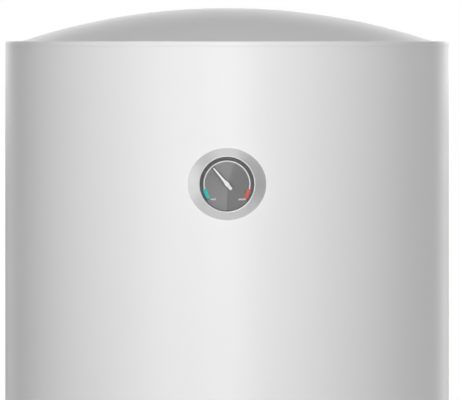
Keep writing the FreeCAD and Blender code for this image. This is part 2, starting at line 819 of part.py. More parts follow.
cover_in = s.cover_wall_r - s.cover_t
cover_floor = s.cover_deep - s.cover_t
service_cover = turned("service_cover", [
    (cover_in, cover_seat(cover_in)),
    (s.cover_r, cover_seat(s.cover_r)),
    (s.cover_r, cover_seat(s.cover_r, s.cover_rim_t)),
    (s.cover_wall_r, cover_seat(s.cover_wall_r, s.cover_rim_t)),
    (s.cover_foot_r, s.cover_deep),
    (0, s.cover_deep),
    (0, cover_floor),
    (s.cover_foot_r - s.cover_t, cover_floor),
], on_axis(foot), FLIPPED)
round_edges(service_cover, s.cover_round, is_circle(s.cover_foot_r, s.cover_deep))
screw_seat = cover_seat(s.cover_screw_ring) + 2.0
pocket(service_cover, "screw_seats", "XY_Plane", circles=[(x, y, 3.4) for x, y in SCREW_SPOTS],
       way="along", lift=screw_seat)
pocket(service_cover, "screw_clearance", "XY_Plane", circles=[(x, y, 1.8) for x, y in SCREW_SPOTS])
pocket(service_cover, "fitting_holes", "XY_Plane", circles=[
    (0, s.knob_y, s.spindle_r + 2),
    (s.lamp_x, s.lamp_y, s.lamp_r + 0.1),
    (0, -s.gland_y, s.gland_r - 0.9),
])


def screw(label, head_r, head_t, shank_r, shank_len, at, turn):
    """A cross-recessed pan-head screw. Local Z = 0 is under the head, which rises to +Z."""
    body = turned(label + "_turned", [
        (0, -shank_len),
        (shank_r, -shank_len),
        (shank_r, 0),
        (head_r, 0),
        (head_r, head_t / 2),
        (head_r - head_t / 2, head_t),
        (0, head_t),
    ], at, turn)
    arm, half = head_r * 0.6, 0.4
    pocket(body, label + "_recess", "XY_Plane", way="along", lift=head_t / 2, outlines=[[
        (-arm, -half), (-half, -half), (-half, -arm), (half, -arm), (half, -half), (arm, -half),
        (arm, half), (half, half), (half, arm), (-half, arm), (-half, half), (-arm, half),
    ]])
    return body


group("cover_screws", [screw(f"cover_screw{n}", 3.0, 2.0, 1.6, 14.0, below(x, y, screw_seat), FLIPPED)
                       for n, (x, y) in enumerate(SCREW_SPOTS)])

thermostat_case = block("thermostat_case", (28, 98, s.body_foot - s.body_top),
                        (-14, axis_y - 58, foot - s.body_foot))
thermostat_boss = rod("thermostat_boss", 8.0, 4.0, below(0, s.knob_y, s.body_foot + 4))
spindle_hole = rod("spindle_hole", s.spindle_r + s.run_gap, 13.0, below(0, s.knob_y, s.body_foot + 4))
button_hole = rod("button_hole", 3.0 + s.run_gap, 9.0, below(0, -10, s.body_foot))
cut("thermostat_body", fuse("thermostat_housing", thermostat_case, thermostat_boss),
    spindle_hole, button_hole)
rod("thermostat_probe", 3.2, s.sheath_up - 10, (0, axis_y + SHEATH_Y, foot - s.body_top))
rod("reset_button", 3.0, 9.0, below(0, -10, s.body_foot + 3))
knob_seat = s.cover_deep + s.knob_gap
knob_end = knob_seat + s.knob_tall
rod("thermostat_spindle", s.spindle_r, s.body_foot * -1 + knob_seat + 16.0, below(0, s.knob_y, knob_seat + 8))

knob_body = turned("knob_body", [
    (s.spindle_r, knob_seat),
    (s.knob_r, knob_seat),
    (s.knob_r, knob_seat + 2.5),
    (s.knob_r - 0.8, knob_seat + 3.5),
    (s.knob_grip_r + 0.8, knob_seat + 3.5),
    (s.knob_grip_r, knob_end - 1.2),
    (s.knob_grip_r - 1.2, knob_end),
    (0, knob_end),
    (0, knob_seat + 8),
    (s.spindle_r, knob_seat + 8),
], below(0, s.knob_y), FLIPPED)
flutes = [rod(f"knob_flute{n}", 2.6, s.knob_tall, below(x, s.knob_y + y, knob_end + 1))
          for n, (x, y) in enumerate(polar(s.knob_grip_r + 1.6, 12, 15.0))]
flute_stop = ring("flute_stop", s.knob_r + 4, 1.0, 5.0, below(0, s.knob_y, knob_seat + 4))
fluting = cut("knob_fluting", fuse("knob_flutes", *flutes), flute_stop)
knob_mark = block("knob_mark", (1.6, 9.0, 1.0), below(-0.8, s.knob_y + 12.5, knob_end + 0.4))
cut("temperature_knob", fuse("knob_marked", knob_body, knob_mark), fluting)

turned("cable_gland", [
    (s.gland_bore, s.cover_deep - 9),
    (s.gland_r - 1, s.cover_deep - 9),
    (s.gland_r - 1, s.cover_deep),
    (s.gland_r + 2.5, s.cover_deep),
    (s.gland_r + 2.5, s.cover_deep + 4),
    (s.gland_r, s.cover_deep + 4.5),
    (s.gland_r, s.cover_deep + 10),
    (s.gland_r - 2.5, s.cover_deep + 14),
    (s.gland_bore, s.cover_deep + 14),
], below(0, -s.gland_y), FLIPPED)
gland_nut_at = below(0, -s.gland_y, cover_floor)
cut("gland_nut", hexagon("gland_nut_hex", 12.0, 4.5, gland_nut_at),
    rod("gland_nut_bore", s.gland_r - 0.95, 4.5, gland_nut_at))
turned("indicator_lamp", [
    (0, s.cover_deep - 8),
    (s.lamp_r, s.cover_deep - 8),
    (s.lamp_r, s.cover_deep),
    (s.lamp_r + 1.5, s.cover_deep),
    (s.lamp_r + 1.5, s.cover_deep + 1.2),
    (s.lamp_r, s.cover_deep + 1.8),
    (s.lamp_r - 1.4, s.cover_deep + 3.6),
    (0, s.cover_deep + 4.2),
], below(s.lamp_x, s.lamp_y), FLIPPED)

terminal_low = plate_face - 16
terminal_bar = block("terminal_bar", (16, 26, 16), (24, axis_y - 34, terminal_low))
POLES = [axis_y - 29 + n * 8 for n in range(3)]
wire_holes = [rod(f"wire_hole{n}", 1.6, 16, (24, y, terminal_low + 9), SIDEWAYS) for n, y in enumerate(POLES)]
screw_wells = [rod(f"screw_well{n}", 2.4, 4, (32, y, terminal_low)) for n, y in enumerate(POLES)]
cut("terminal_block", terminal_bar, *wire_holes, *screw_wells)
group("inner_wires", [wire_tube(f"inner_wire{n}", [
    (26, y, terminal_low + 9),
    (19, y, terminal_low + 9),
    (19, y, terminal_low - 2 - n * 3),
    (14.2, y, terminal_low - 2 - n * 3),
], 1.1, 2.2) for n, y in enumerate(POLES[:2])])


# ---------------------------------------------------------------- thermometer
# Bodies here face the front: local +Z is the distance out from the jacket's front and +Y is up.

GAUGE = (0, front_y, gauge_z)


def bezel_edge(out):
    return s.bezel_r - s.bezel_slope * out


bezel_solid = turned("bezel_solid", [
    (s.dial_r, s.bezel_out - 2.5),
    (s.dial_r, s.bezel_out - 0.4),
    (s.dial_r + 0.4, s.bezel_out),
    (bezel_edge(s.bezel_out) - 0.4, s.bezel_out),
    (bezel_edge(s.bezel_out - 0.4), s.bezel_out - 0.4),
    (bezel_edge(-5.0), -5),
    (s.seat_r, -5),
    (s.seat_r, s.bezel_out - 2.5),
], GAUGE, FACING)
cut("gauge_bezel", bezel_solid, rod("bezel_column", s.body_r, 120, on_axis(gauge_z - 60)))
loose = s.seat_r - 0.2


def at_depth(out):
    return (0, front_y - out, gauge_z)


rod("gauge_lens", loose, s.lens_t, at_depth(s.lens_back), FACING)
dial_front = s.dial_back + s.dial_t
ring("lens_spacer", loose, s.dial_r, s.lens_back - dial_front, at_depth(dial_front), FACING)
ring("gauge_dial", loose, s.arbor_r + 0.4, s.dial_t, at_depth(s.dial_back), FACING)

NEEDLE_HALF = [
    (0.75, s.needle_tip - 0.5),
    (1.3, 3.5),
    (2.25, 1.0),
    (2.25, -1.0),
    (1.2, -2.6),
    (1.7, -s.needle_tail),
]
needle_right = [(x, y) for x, y in reversed(NEEDLE_HALF)]
needle_left = [(-x, y) for x, y in NEEDLE_HALF]
padded("gauge_needle", "XY_Plane", [*needle_right, (0, s.needle_tip), *needle_left], 0.5,
       at_depth(dial_front + 1), FACING, spin=DRIVING["needle_lean"], holes=[(0, 0, s.arbor_r)])
turned("needle_arbor", [
    (0, 0.8 - s.case_deep),
    (s.arbor_r, 0.8 - s.case_deep),
    (s.arbor_r, dial_front + 1.5),
    (1.9, dial_front + 1.5),
    (1.9, dial_front + 2.0),
    (1.3, dial_front + 2.4),
    (0, dial_front + 2.4),
], GAUGE, FACING)

case_cup = turned("case_cup", [
    (s.arbor_r + s.run_gap, -s.case_deep),
    (s.case_r, -s.case_deep),
    (s.case_r, 0),
    (loose, 0),
    (loose, s.dial_back),
    (s.case_r - s.case_wall, s.dial_back),
    (s.case_r - s.case_wall, s.case_wall - s.case_deep),
    (s.arbor_r + s.run_gap, s.case_wall - s.case_deep),
], GAUGE, FACING)
tube_depth = s.case_deep - 7
tube_y = front_y + tube_depth
cut("gauge_case", case_cup,
    rod("case_tube_hole", s.capillary_r + 0.1, 10, (0, tube_y, gauge_z - s.case_r - 3)))

bulb_y = axis_y - s.tank_r - 4.4
bulb_top = gauge_z - 115
capillary_line = wire_tube("capillary_line", [
    (0, tube_y, gauge_z - 24),
    (0, tube_y, gauge_z - 92),
    (0, bulb_y, gauge_z - 104),
    (0, bulb_y, bulb_top),
], 1.0, 8.0)
fuse("gauge_capillary", capillary_line, rod("capillary_bulb", s.bulb_r, 62, (0, bulb_y, bulb_top - 62)))
ring("bulb_pocket", 4.4, s.bulb_r + 0.1, 56, (0, bulb_y, bulb_top - 59))


def spiral_strip(label, first_r, pitch, turns, thickness, width, at, turn):
    """A flat strip wound to a spiral, as the gauge's pressure coil, in flats of 10 degrees."""
    flats = 36

    def side(offset):
        for n in range(int(turns * flats) + 1):
            angle = 2 * math.pi * n / flats
            radius = first_r + offset + pitch * n / flats
            yield FreeCAD.Vector(radius * math.cos(angle), radius * math.sin(angle), 0)

    outline = [*side(0.0), *reversed(list(side(thickness)))]
    thing = doc.addObject("Part::Feature", label)
    thing.Label = label
    thing.Shape = Part.Face(Part.makePolygon([*outline, outline[0]])).extrude(FreeCAD.Vector(0, 0, width))
    return place(thing, at, turn)


spiral_strip("gauge_coil", 4.0, 3.2, 4.5, 0.8, 4.0, at_depth(-11.0), FACING)


# ---------------------------------------------------------------- safety valve on the cold pipe

VALVE_X, VALVE_Y = s.pipe_half, axis_y + s.pipe_back
valve_top = foot - s.pipe_low + s.valve_grip


def in_valve(x, drop):
    """A point by its distance to the right of the valve's axis and below its top."""
    return (VALVE_X + x, VALVE_Y, valve_top - drop)


seat_drop = s.check_seat
thread_top = s.valve_tall - 18
branch_seat = 14.0
valve_solid = fuse(
    "valve_solid",
    hexagon("valve_hexagon", s.valve_hex, 16, in_valve(0, 16)),
    rod("valve_barrel", s.valve_r, thread_top, in_valve(0, thread_top)),
    rod("valve_thread", s.thread_r, s.valve_tall, in_valve(0, s.valve_tall)),
    rod("valve_branch", s.branch_r, s.branch_len, in_valve(0, s.branch_drop), SIDEWAYS),
)
cut("valve_body", valve_solid,
    rod("valve_socket", s.thread_r + 0.05, s.valve_grip + 1, in_valve(0, s.valve_grip)),
    rod("valve_bore", 7.0, seat_drop, in_valve(0, seat_drop)),
    rod("valve_inlet", 5.0, s.valve_tall, in_valve(0, s.valve_tall)),
    rod("relief_port", 4.0, 20, in_valve(0, s.branch_drop), SIDEWAYS),
    rod("relief_chamber", s.chamber_r, s.branch_len, in_valve(branch_seat, s.branch_drop), SIDEWAYS),
    rod("outlet_hole", 4.55, 10, in_valve(s.outlet_x, s.branch_drop + 10)))
bonnet_cap = rod("bonnet_cap", s.branch_r + 1.8, 12, in_valve(s.bonnet_end - 12, s.branch_drop), SIDEWAYS)
cut("relief_bonnet", bonnet_cap,
    rod("bonnet_screwed", s.branch_r + 0.05, 8, in_valve(s.bonnet_end - 12, s.branch_drop), SIDEWAYS),
    rod("bonnet_bearing", s.stem_r + s.run_gap, 12, in_valve(s.bonnet_end - 12, s.branch_drop), SIDEWAYS))
relief_from = in_valve(branch_seat + 0.05, s.branch_drop)
relief_disc = rod("relief_disc", s.chamber_r - 0.8, 3, relief_from, SIDEWAYS)
relief_stem = rod("relief_stem", s.stem_r, s.lever_pin_x + 2.5 - branch_seat, relief_from, SIDEWAYS)
pin_at = in_valve(s.lever_pin_x, s.branch_drop)
PIN_HALF = 5.2
pin_from = (pin_at[0], pin_at[1] + PIN_HALF, pin_at[2])
cut("relief_poppet", fuse("relief_piston", relief_disc, relief_stem),
    rod("stem_eye", s.lever_pin_r, PIN_HALF * 2, pin_from, FACING))
rod("lever_pin", s.lever_pin_r, PIN_HALF * 2, pin_from, FACING)
spring_from = branch_seat + 3.05
coil_spring("relief_spring", 4.3, 0.6, s.bonnet_end.value - 4 - spring_from - 1.4, 5.0,
            in_valve(spring_from + 0.7, s.branch_drop), SIDEWAYS)

EAR_OUT, EAR_IN = 4.4, 2.1
CAM_SHIFT = (1.0, 1.19)    # from the pin to the middle of the cam: away from the bonnet, and up


def by_pin(x, y, z):
    return (pin_at[0] + x, pin_at[1] + y, pin_at[2] + z)


lever_cam = rod("lever_cam", s.cam_r, EAR_OUT * 2, by_pin(CAM_SHIFT[0], EAR_OUT, CAM_SHIFT[1]), FACING)
lever_arm = block("lever_arm", (3.2, EAR_OUT * 2, s.lever_len), by_pin(-0.6, -EAR_OUT, -s.lever_len))
lever_tab = block("lever_tab", (3.2, 15, 18), by_pin(-0.6, -7.5, -s.lever_len))
lever_slot = block("lever_slot", (16, EAR_IN * 2, 15), by_pin(-8, -EAR_IN, -7.5))
cut("valve_lever", fuse("lever_solid", lever_cam, lever_arm, lever_tab), lever_slot,
    rod("lever_eye", s.lever_pin_r + s.run_gap, PIN_HALF * 2, pin_from, FACING))

turned("discharge_spout", [
    (3.4, 25),
    (3.4, 0),
    (4.5, 0),
    (4.5, 2.4),
    (6.0, 2.4),
    (6.0, 4.4),
    (s.spout_r, 5.0),
    (s.spout_r, 25),
], in_valve(s.outlet_x, s.branch_drop + s.branch_r - 2.3), FLIPPED)

CHECK_STEM_R, RETAINER_T = 1.4, 2.5
retainer_foot = in_valve(0, seat_drop - 18 + RETAINER_T)
retainer_holes = [rod(f"retainer_hole{n}", 1.6, RETAINER_T, (VALVE_X + x, VALVE_Y + y, retainer_foot[2]))
                  for n, (x, y) in enumerate(polar(4.3, 5))]
cut("check_retainer", rod("retainer_disc", 7.0, RETAINER_T, retainer_foot),
    rod("retainer_bearing", CHECK_STEM_R + s.run_gap, RETAINER_T, retainer_foot), *retainer_holes)
check_from = in_valve(0, seat_drop - 0.05)
fuse("check_poppet", rod("check_disc", 6.2, 2.5, check_from), rod("check_stem", CHECK_STEM_R, 21, check_from))
coil_spring("check_spring", 3.6, 0.5, 11.4, 5.0, in_valve(0, seat_drop - 3.3))


# ---------------------------------------------------------------- checks and export

NODES = (
    "outer_jacket", "top_cap", "bottom_cap", "service_cover", "cover_screws",
    "hanging_bracket", "lower_spacer", "spacer_pad",
    "tank_shell", "tank_top_end", "tank_bottom_end", "top_foam", "side_foam", "bottom_foam",
    "flange_neck", "flange_studs", "flange_gasket", "flange_plate", "flange_nuts",
    "heating_element", "thermostat_sheath", "anode_rod", "anode_bolt",
    "thermostat_probe", "thermostat_body", "thermostat_spindle", "temperature_knob", "reset_button",
    "terminal_block", "inner_wires", "cable_gland", "gland_nut", "indicator_lamp",
    "hot_nipple", "cold_nipple", "hot_riser", "cold_diffuser", "hot_collar", "cold_collar",
    "gauge_bezel", "gauge_lens", "lens_spacer", "gauge_dial", "gauge_needle", "needle_arbor",
    "gauge_case", "gauge_coil", "gauge_capillary", "bulb_pocket",
    "valve_body", "relief_bonnet", "relief_poppet", "relief_spring", "lever_pin", "valve_lever",
    "check_poppet", "check_spring", "check_retainer", "discharge_spout",
)

doc.recompute()
for thing in doc.Objects:
    if {"Invalid", "Error"} & set(thing.State):
        raise RuntimeError(f"{thing.Label} did not compute: {thing.State}")
    if thing.TypeId == "Sketcher::SketchObject" and not thing.FullyConstrained:
        raise RuntimeError(f"{thing.Label} is not fully constrained")
    if thing.TypeId == "PartDesign::Pocket" and thing.Shape.Volume >= thing.BaseFeature.Shape.Volume:
        raise RuntimeError(f"{thing.Label} removed nothing")

os.makedirs("parts", exist_ok=True)
for label in NODES:
    shape = doc.getObjectsByLabel(label)[0].Shape
    if shape.isNull() or not shape.isValid() or not shape.Solids:
        raise RuntimeError(f"{label} has no sound solid")
    shape.exportStep(f"parts/{label}.step")
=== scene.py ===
import bmesh
import bpy
import json
import math
from mathutils import Matrix, Vector

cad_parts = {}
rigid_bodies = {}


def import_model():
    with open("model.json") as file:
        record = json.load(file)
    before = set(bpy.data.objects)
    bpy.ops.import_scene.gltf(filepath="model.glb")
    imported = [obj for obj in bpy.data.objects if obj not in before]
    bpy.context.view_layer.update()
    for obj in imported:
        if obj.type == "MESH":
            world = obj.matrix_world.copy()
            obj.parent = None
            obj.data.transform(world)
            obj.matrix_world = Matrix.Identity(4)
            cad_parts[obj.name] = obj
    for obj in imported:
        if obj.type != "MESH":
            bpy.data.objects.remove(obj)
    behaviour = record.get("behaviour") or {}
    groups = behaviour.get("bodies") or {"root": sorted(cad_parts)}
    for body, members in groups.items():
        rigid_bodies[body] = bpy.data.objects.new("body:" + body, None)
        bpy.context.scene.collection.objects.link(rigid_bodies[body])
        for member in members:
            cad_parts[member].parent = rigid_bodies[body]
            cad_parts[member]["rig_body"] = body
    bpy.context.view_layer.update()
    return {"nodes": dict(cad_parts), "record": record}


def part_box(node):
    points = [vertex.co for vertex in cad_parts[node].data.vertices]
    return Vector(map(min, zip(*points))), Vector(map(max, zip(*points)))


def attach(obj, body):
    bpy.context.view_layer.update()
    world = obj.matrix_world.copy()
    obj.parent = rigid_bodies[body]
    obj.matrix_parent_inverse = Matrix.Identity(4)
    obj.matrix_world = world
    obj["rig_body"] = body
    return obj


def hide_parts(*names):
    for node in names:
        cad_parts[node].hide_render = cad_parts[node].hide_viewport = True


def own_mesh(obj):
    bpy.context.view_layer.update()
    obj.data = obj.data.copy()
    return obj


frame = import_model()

# A wall-hung storage water heater. Pieces are shaped in millimetres, in the model's own frame, and
# stored in metres. The heater's axis is vertical, and the thermometer faces -Y.

MM = 0.001
TAU = 2 * math.pi


def span(node):
    """Lowest and highest corner of a CAD node, in millimetres."""
    low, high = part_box(node)
    return low / MM, high / MM


def middle(node):
    low, high = span(node)
    return (low + high) / 2


# ---------------------------------------------------------------- sizes, in millimetres

BODY_R = 225.0
SHEET = 0.8
LIP = 5.0                  # height of a cap's rolled lip
LIP_ROUND = 1.5
JOINT = 0.22               # how far the lip laps down into the joint with the jacket
LEDGE_R = 208.0            # where a cap's dome starts
RISE = 33.5                # height of the dome
SKIRT = 20.0               # depth of a cap's skirt inside the jacket
SKIRT_R = 223.6
CREASE = 12.0              # pressed radius where the dome meets the ledge
DOME_R = (LEDGE_R ** 2 + RISE ** 2) / (2 * RISE)
HATCH_R = 85.0             # the bottom cap's middle hole
SCREW_RING = 100.5         # the cover screws' distance from the axis
SCREWS = 4
THREAD_R = 10.48
THREAD_PITCH = 1.814
THREAD_DEEP = 1.16
PIPE_BORE_R = 7.5
PIPE_HOLE_R = 12.15        # the bottom cap's holes for the pipes

AXIS = Vector((0, middle("top_cap").y, 0))
RIM_Z = span("top_cap")[1].z - RISE
FOOT_Z = span("bottom_cap")[1].z - SKIRT
GAUGE = Vector((0, AXIS.y - BODY_R, middle("gauge_dial").z))


# ---------------------------------------------------------------- shader helpers

def new_material(name):
    material = bpy.data.materials.new(name)
    material.use_nodes = True
    return material


def socket_value(tree, socket, value):
    if isinstance(value, bpy.types.NodeSocket):
        tree.links.new(value, socket)
    elif isinstance(value, tuple) and len(value) == 3 and socket.type == "RGBA":
        socket.default_value = (*value, 1)
    else:
        socket.default_value = value


def node(material, kind, inputs=(), **settings):
    """Adds a shader node and returns it. Inputs are numbers, colours or other nodes' sockets."""
    made = material.node_tree.nodes.new(kind)
    for key, value in settings.items():
        setattr(made, key, value)
    for key, value in dict(inputs).items():
        socket_value(material.node_tree, made.inputs[key], value)
    return made


def surface(material, **inputs):
    """Sets the Principled shader's sockets, named with underscores for spaces."""
    shader = material.node_tree.nodes["Principled BSDF"]
    for key, value in inputs.items():
        socket_value(material.node_tree, shader.inputs[key.replace("_", " ")], value)


def place(material, stretch=(1, 1, 1)):
    """Position in the model's frame, in metres, stretched along the axes."""
    where = node(material, "ShaderNodeTexCoord").outputs["Object"]
    return node(material, "ShaderNodeMapping", {"Vector": where, "Scale": stretch}).outputs["Vector"]


def noise(material, scale, detail=3.0, roughness=0.5, stretch=(1, 1, 1)):
    inputs = {"Vector": place(material, stretch), "Scale": scale, "Detail": detail, "Roughness": roughness}
    return node(material, "ShaderNodeTexNoise", inputs).outputs["Fac"]


def spread(material, factor, low, high):
    """Maps a 0 to 1 factor to a range of numbers."""
    inputs = {"Value": factor, "To Min": low, "To Max": high}
    return node(material, "ShaderNodeMapRange", inputs).outputs["Result"]


def blend(material, factor, first, second):
    made = node(material, "ShaderNodeMix", data_type="RGBA")
    socket_value(material.node_tree, made.inputs["Factor"], factor)
    socket_value(material.node_tree, made.inputs["A"], first)
    socket_value(material.node_tree, made.inputs["B"], second)
    return made.outputs["Result"]


def bump(material, height, distance):
    """The normal of a surface that a 0 to 1 height raises by a distance in millimetres."""
    inputs = {"Height": height, "Distance": distance * MM, "Strength": 1.0}
    return node(material, "ShaderNodeBump", inputs).outputs["Normal"]


def shade(colour, factor):
    """A colour made darker or lighter by a factor."""
    return tuple(min(1.0, c * factor) for c in colour)


# ---------------------------------------------------------------- materials

def enamel(name, colour, rough=0.36, peel=0.012):
    """Sprayed and baked enamel on sheet steel: fine orange peel and a slightly uneven gloss."""
    material = new_material(name)
    drift = noise(material, 3.0, 2.0)
    fleck = noise(material, 1400.0, 2.0)
    tone = blend(material, drift, shade(colour, 0.985), shade(colour, 1.01))
    surface(material,
            Base_Color=blend(material, spread(material, fleck, 0.0, 0.12), tone, shade(colour, 0.93)),
            Roughness=spread(material, noise(material, 22.0, 4.0), rough - 0.03, rough + 0.04),
            Normal=bump(material, noise(material, 420.0, 2.0), peel))
    return material


def plastic(name, colour, rough=0.42, grain=0.02):
    """Moulded plastic with a fine spark-eroded grain."""
    material = new_material(name)
    drift = noise(material, 18.0, 3.0)
    surface(material,
            Base_Color=blend(material, drift, shade(colour, 0.94), shade(colour, 1.05)),
            Roughness=spread(material, noise(material, 140.0, 4.0), rough - 0.06, rough + 0.08),
            Normal=bump(material, noise(material, 900.0, 3.0), grain))
    return material


def plated(name, colour, rough=0.25, stretch=(1, 1, 1), grain=0.004, metallic=1.0):
    """Bare or plated metal: fine marks, drawn out along one axis by stretch, over a mottled tone."""
    material = new_material(name)
    marks = noise(material, 500.0, 4.0, 0.6, stretch)
    blotch = noise(material, 60.0, 5.0, 0.65)
    surface(material,
            Base_Color=blend(material, blotch, shade(colour, 0.88), shade(colour, 1.06)),
            Metallic=metallic,
            Roughness=spread(material, marks, rough - 0.07, rough + 0.10),
            Normal=bump(material, marks, grain))
    return material


def rubber(name, colour):
    """Matt moulded rubber with dust on it."""
    material = new_material(name)
    dust = noise(material, 90.0, 6.0, 0.7)
    surface(material,
            Base_Color=blend(material, dust, shade(colour, 0.7), shade(colour, 1.9)),
            Roughness=spread(material, dust, 0.62, 0.85),
            Normal=bump(material, noise(material, 1200.0, 3.0), 0.03))
    return material


def foam(name, colour):
    """Cut polyurethane foam: open cells in a cream body, with painted shade in the cells' hollows."""
    material = new_material(name)
    inputs = {"Vector": place(material), "Scale": 700.0}
    cells = node(material, "ShaderNodeTexVoronoi", inputs).outputs["Distance"]
    # The cells' hollows, which the bump sinks, are coloured darker: painted shade.
    surface(material,
            Base_Color=blend(material, cells, shade(colour, 0.72), colour),
            Roughness=0.9,
            Normal=bump(material, cells, 0.4))
    return material


def clear(name):
    """The thermometer's thin clear window."""
    material = new_material(name)
    haze = noise(material, 30.0, 3.0)
    surface(material,
            Base_Color=(0.03, 0.035, 0.035),
            Roughness=spread(material, haze, 0.05, 0.09),
            Alpha=0.05)
    return material


def sheen_sector_dial(name, sheen_tones):
    """A dial whose grey changes in sectors round its middle as a painted sheen: lighter from the upper left
    to just right of the top and on the lower left, darker on the right. Pairs of (degrees clockwise from the
    top, grey) set the sectors.
    """
    material = new_material(name)
    where = node(material, "ShaderNodeTexCoord").outputs["Object"]
    parts = node(material, "ShaderNodeSeparateXYZ", {"Vector": where})
    height = {0: parts.outputs["Z"], 1: GAUGE.z * MM}
    up = node(material, "ShaderNodeMath", height, operation="SUBTRACT").outputs[0]
    sides = {0: parts.outputs["X"], 1: up}
    angle = node(material, "ShaderNodeMath", sides, operation="ARCTAN2").outputs[0]
    whole_turn = {"Value": angle, "From Min": -math.pi, "From Max": math.pi}
    turn = node(material, "ShaderNodeMapRange", whole_turn).outputs["Result"]
    ramp = node(material, "ShaderNodeValToRGB", {"Fac": turn})
    stops = ramp.color_ramp.elements
    for number, (degrees, grey) in enumerate(sheen_tones):
        spot = (degrees + 180.0) / 360.0
        stop = stops[number] if number < 2 else stops.new(spot)
        stop.position = spot
        stop.color = (grey, grey, grey, 1)
    rings = noise(material, 1500.0, 2.0)
    surface(material,
            Base_Color=ramp.outputs["Color"],
            Roughness=spread(material, rings, 0.42, 0.55),
            Normal=bump(material, rings, 0.003))
    return material


WHITE = (0.806, 0.806, 0.806)
LOOKS = {
    "casing_white": enamel("casing_enamel", WHITE),
    "cover_white": plastic("cover_plastic", (0.76, 0.765, 0.76), 0.40, 0.03),
    "bracket_white": enamel("bracket_enamel", (0.70, 0.71, 0.71), 0.45, 0.03),
    "zinc_steel": plated("zinc_plate", (0.66, 0.67, 0.66), 0.32),
    "pad_rubber": rubber("pad_rubber", (0.035, 0.035, 0.036)),
    "seal_rubber": rubber("seal_rubber", (0.03, 0.03, 0.033)),
    "tank_enamel": enamel("tank_glaze", (0.03, 0.06, 0.14), 0.25, 0.04),
    "flange_enamel": enamel("flange_glaze", (0.035, 0.06, 0.12), 0.3, 0.04),
    "foam": foam("cream_foam", (0.82, 0.70, 0.42)),
    "element_steel": plated("element_sheath", (0.42, 0.40, 0.36), 0.4, (1, 1, 0.1)),
    "sheath_steel": plated("sheath_tube", (0.55, 0.54, 0.52), 0.3, (1, 1, 0.1)),
    "anode_magnesium": plated("cast_magnesium", (0.50, 0.51, 0.50), 0.6, grain=0.03),
    "probe_steel": plated("probe_tube", (0.58, 0.57, 0.55), 0.3, (1, 1, 0.1)),
    "control_plastic": plastic("control_plastic", (0.035, 0.035, 0.04), 0.5),
    "wire_cover": plastic("wire_cover", (0.30, 0.10, 0.03), 0.45),
    "gland_plastic": plastic("gland_plastic", (0.04, 0.04, 0.043), 0.42),
    "lamp_red": plastic("lamp_lens", (0.62, 0.03, 0.02), 0.15, 0.004),
    "nipple_steel": plated("turned_steel", (0.62, 0.62, 0.60), 0.28, (1, 1, 8)),
    "diffuser_plastic": plastic("diffuser_plastic", (0.75, 0.75, 0.73), 0.4),
    "collar_red": plastic("collar_red", (0.55, 0.03, 0.025), 0.35),
    "collar_blue": plastic("collar_blue", (0.02, 0.11, 0.48), 0.35),
    "bezel_silver": plated("satin_silver", (0.75, 0.75, 0.752), 0.40, grain=0.002, metallic=0.4),
    "clear_lens": clear("clear_window"),
    "spacer_silver": plated("spacer_ring", (0.74, 0.75, 0.76), 0.3),
    # The dial's lighter and darker sectors of grey are painted sheen.
    "dial_grey": sheen_sector_dial("sheen_sector_dial", [
        (-180.0, 0.17), (-179.0, 0.26), (-135.0, 0.24), (-80.0, 0.22), (-41.0, 0.22),
        (-40.0, 0.27), (15.0, 0.26), (24.0, 0.19), (90.0, 0.16), (150.0, 0.17),
    ]),
    "gauge_plastic": plastic("gauge_plastic", (0.04, 0.04, 0.045), 0.5),
    "coil_bronze": plated("coil_bronze", (0.62, 0.36, 0.16), 0.3),
    "capillary_copper": plated("capillary_copper", (0.70, 0.33, 0.18), 0.3),
    "needle_white": plastic("needle_paint", (0.95, 0.95, 0.95), 0.35, 0.002),
    "arbor_steel": plated("arbor_steel", (0.62, 0.62, 0.62), 0.25),
    "knob_plastic": plastic("knob_plastic", (0.10, 0.105, 0.11), 0.38),
    "spindle_steel": plated("spindle_steel", (0.62, 0.62, 0.60), 0.28),
    "button_red": plastic("button_red", (0.55, 0.03, 0.02), 0.35),
    "valve_nickel": plated("nickel_plate", (0.66, 0.64, 0.60), 0.22, grain=0.006),
    "valve_brass": plated("turned_brass", (0.72, 0.50, 0.20), 0.25),
    "spring_steel": plated("spring_steel", (0.55, 0.55, 0.55), 0.22),
    "lever_red": plastic("lever_red", (0.50, 0.02, 0.02), 0.33),
}
SLOT_OF = {entry["node"]: entry["material_slot"] for entry in frame["record"]["subparts"]}
for source, slot in SLOT_OF.items():
    frame["nodes"][source].data.materials.clear()
    frame["nodes"][source].data.materials.append(LOOKS[slot])


# ---------------------------------------------------------------- mesh helpers

UP = Matrix.Identity(4)
DOWN = Matrix.Rotation(math.pi, 4, "X")            # local Z points down and local Y to the front
FACING = Matrix.Rotation(math.pi / 2, 4, "X")      # local Z points to the front and local Y up
ALONG_X = Matrix.Rotation(math.pi / 2, 4, "Y")      # local Z points to the right


def rounded(points, closed=True, steps=5):
    """An outline from (x, y) or (x, y, radius) corners, with each radius turned into an arc."""
    flat = [Vector(p[:2]) for p in points]
    made = []
    for number, point in enumerate(points):
        corner = flat[number]
        at_end = not closed and number in (0, len(points) - 1)
        if len(point) < 3 or at_end:
            made.append(tuple(corner))
            continue
        before = (flat[number - 1] - corner).normalized()
        after = (flat[(number + 1) % len(flat)] - corner).normalized()
        half = before.angle(after) / 2
        reach = point[2] / math.tan(half)
        centre = corner + (before + after).normalized() * (point[2] / math.sin(half))
        start = (corner + before * reach - centre).normalized()
        end = (corner + after * reach - centre).normalized()
        for step in range(steps + 1):
            made.append(tuple(centre + start.slerp(end, step / steps) * point[2]))
    return made


def finish_mesh(bm, name, turn, at):
    """Welds, orients and places a mesh made in millimetres, and returns it in metres."""
    bmesh.ops.remove_doubles(bm, verts=bm.verts, dist=1e-4)
    bmesh.ops.dissolve_degenerate(bm, edges=bm.edges, dist=1e-5)
    bmesh.ops.recalc_face_normals(bm, faces=bm.faces)
    bm.transform(Matrix.Diagonal((MM, MM, MM, 1)) @ Matrix.Translation(Vector(at)) @ turn)
    mesh = bpy.data.meshes.new(name)
    bm.to_mesh(mesh)
    bm.free()
    return mesh


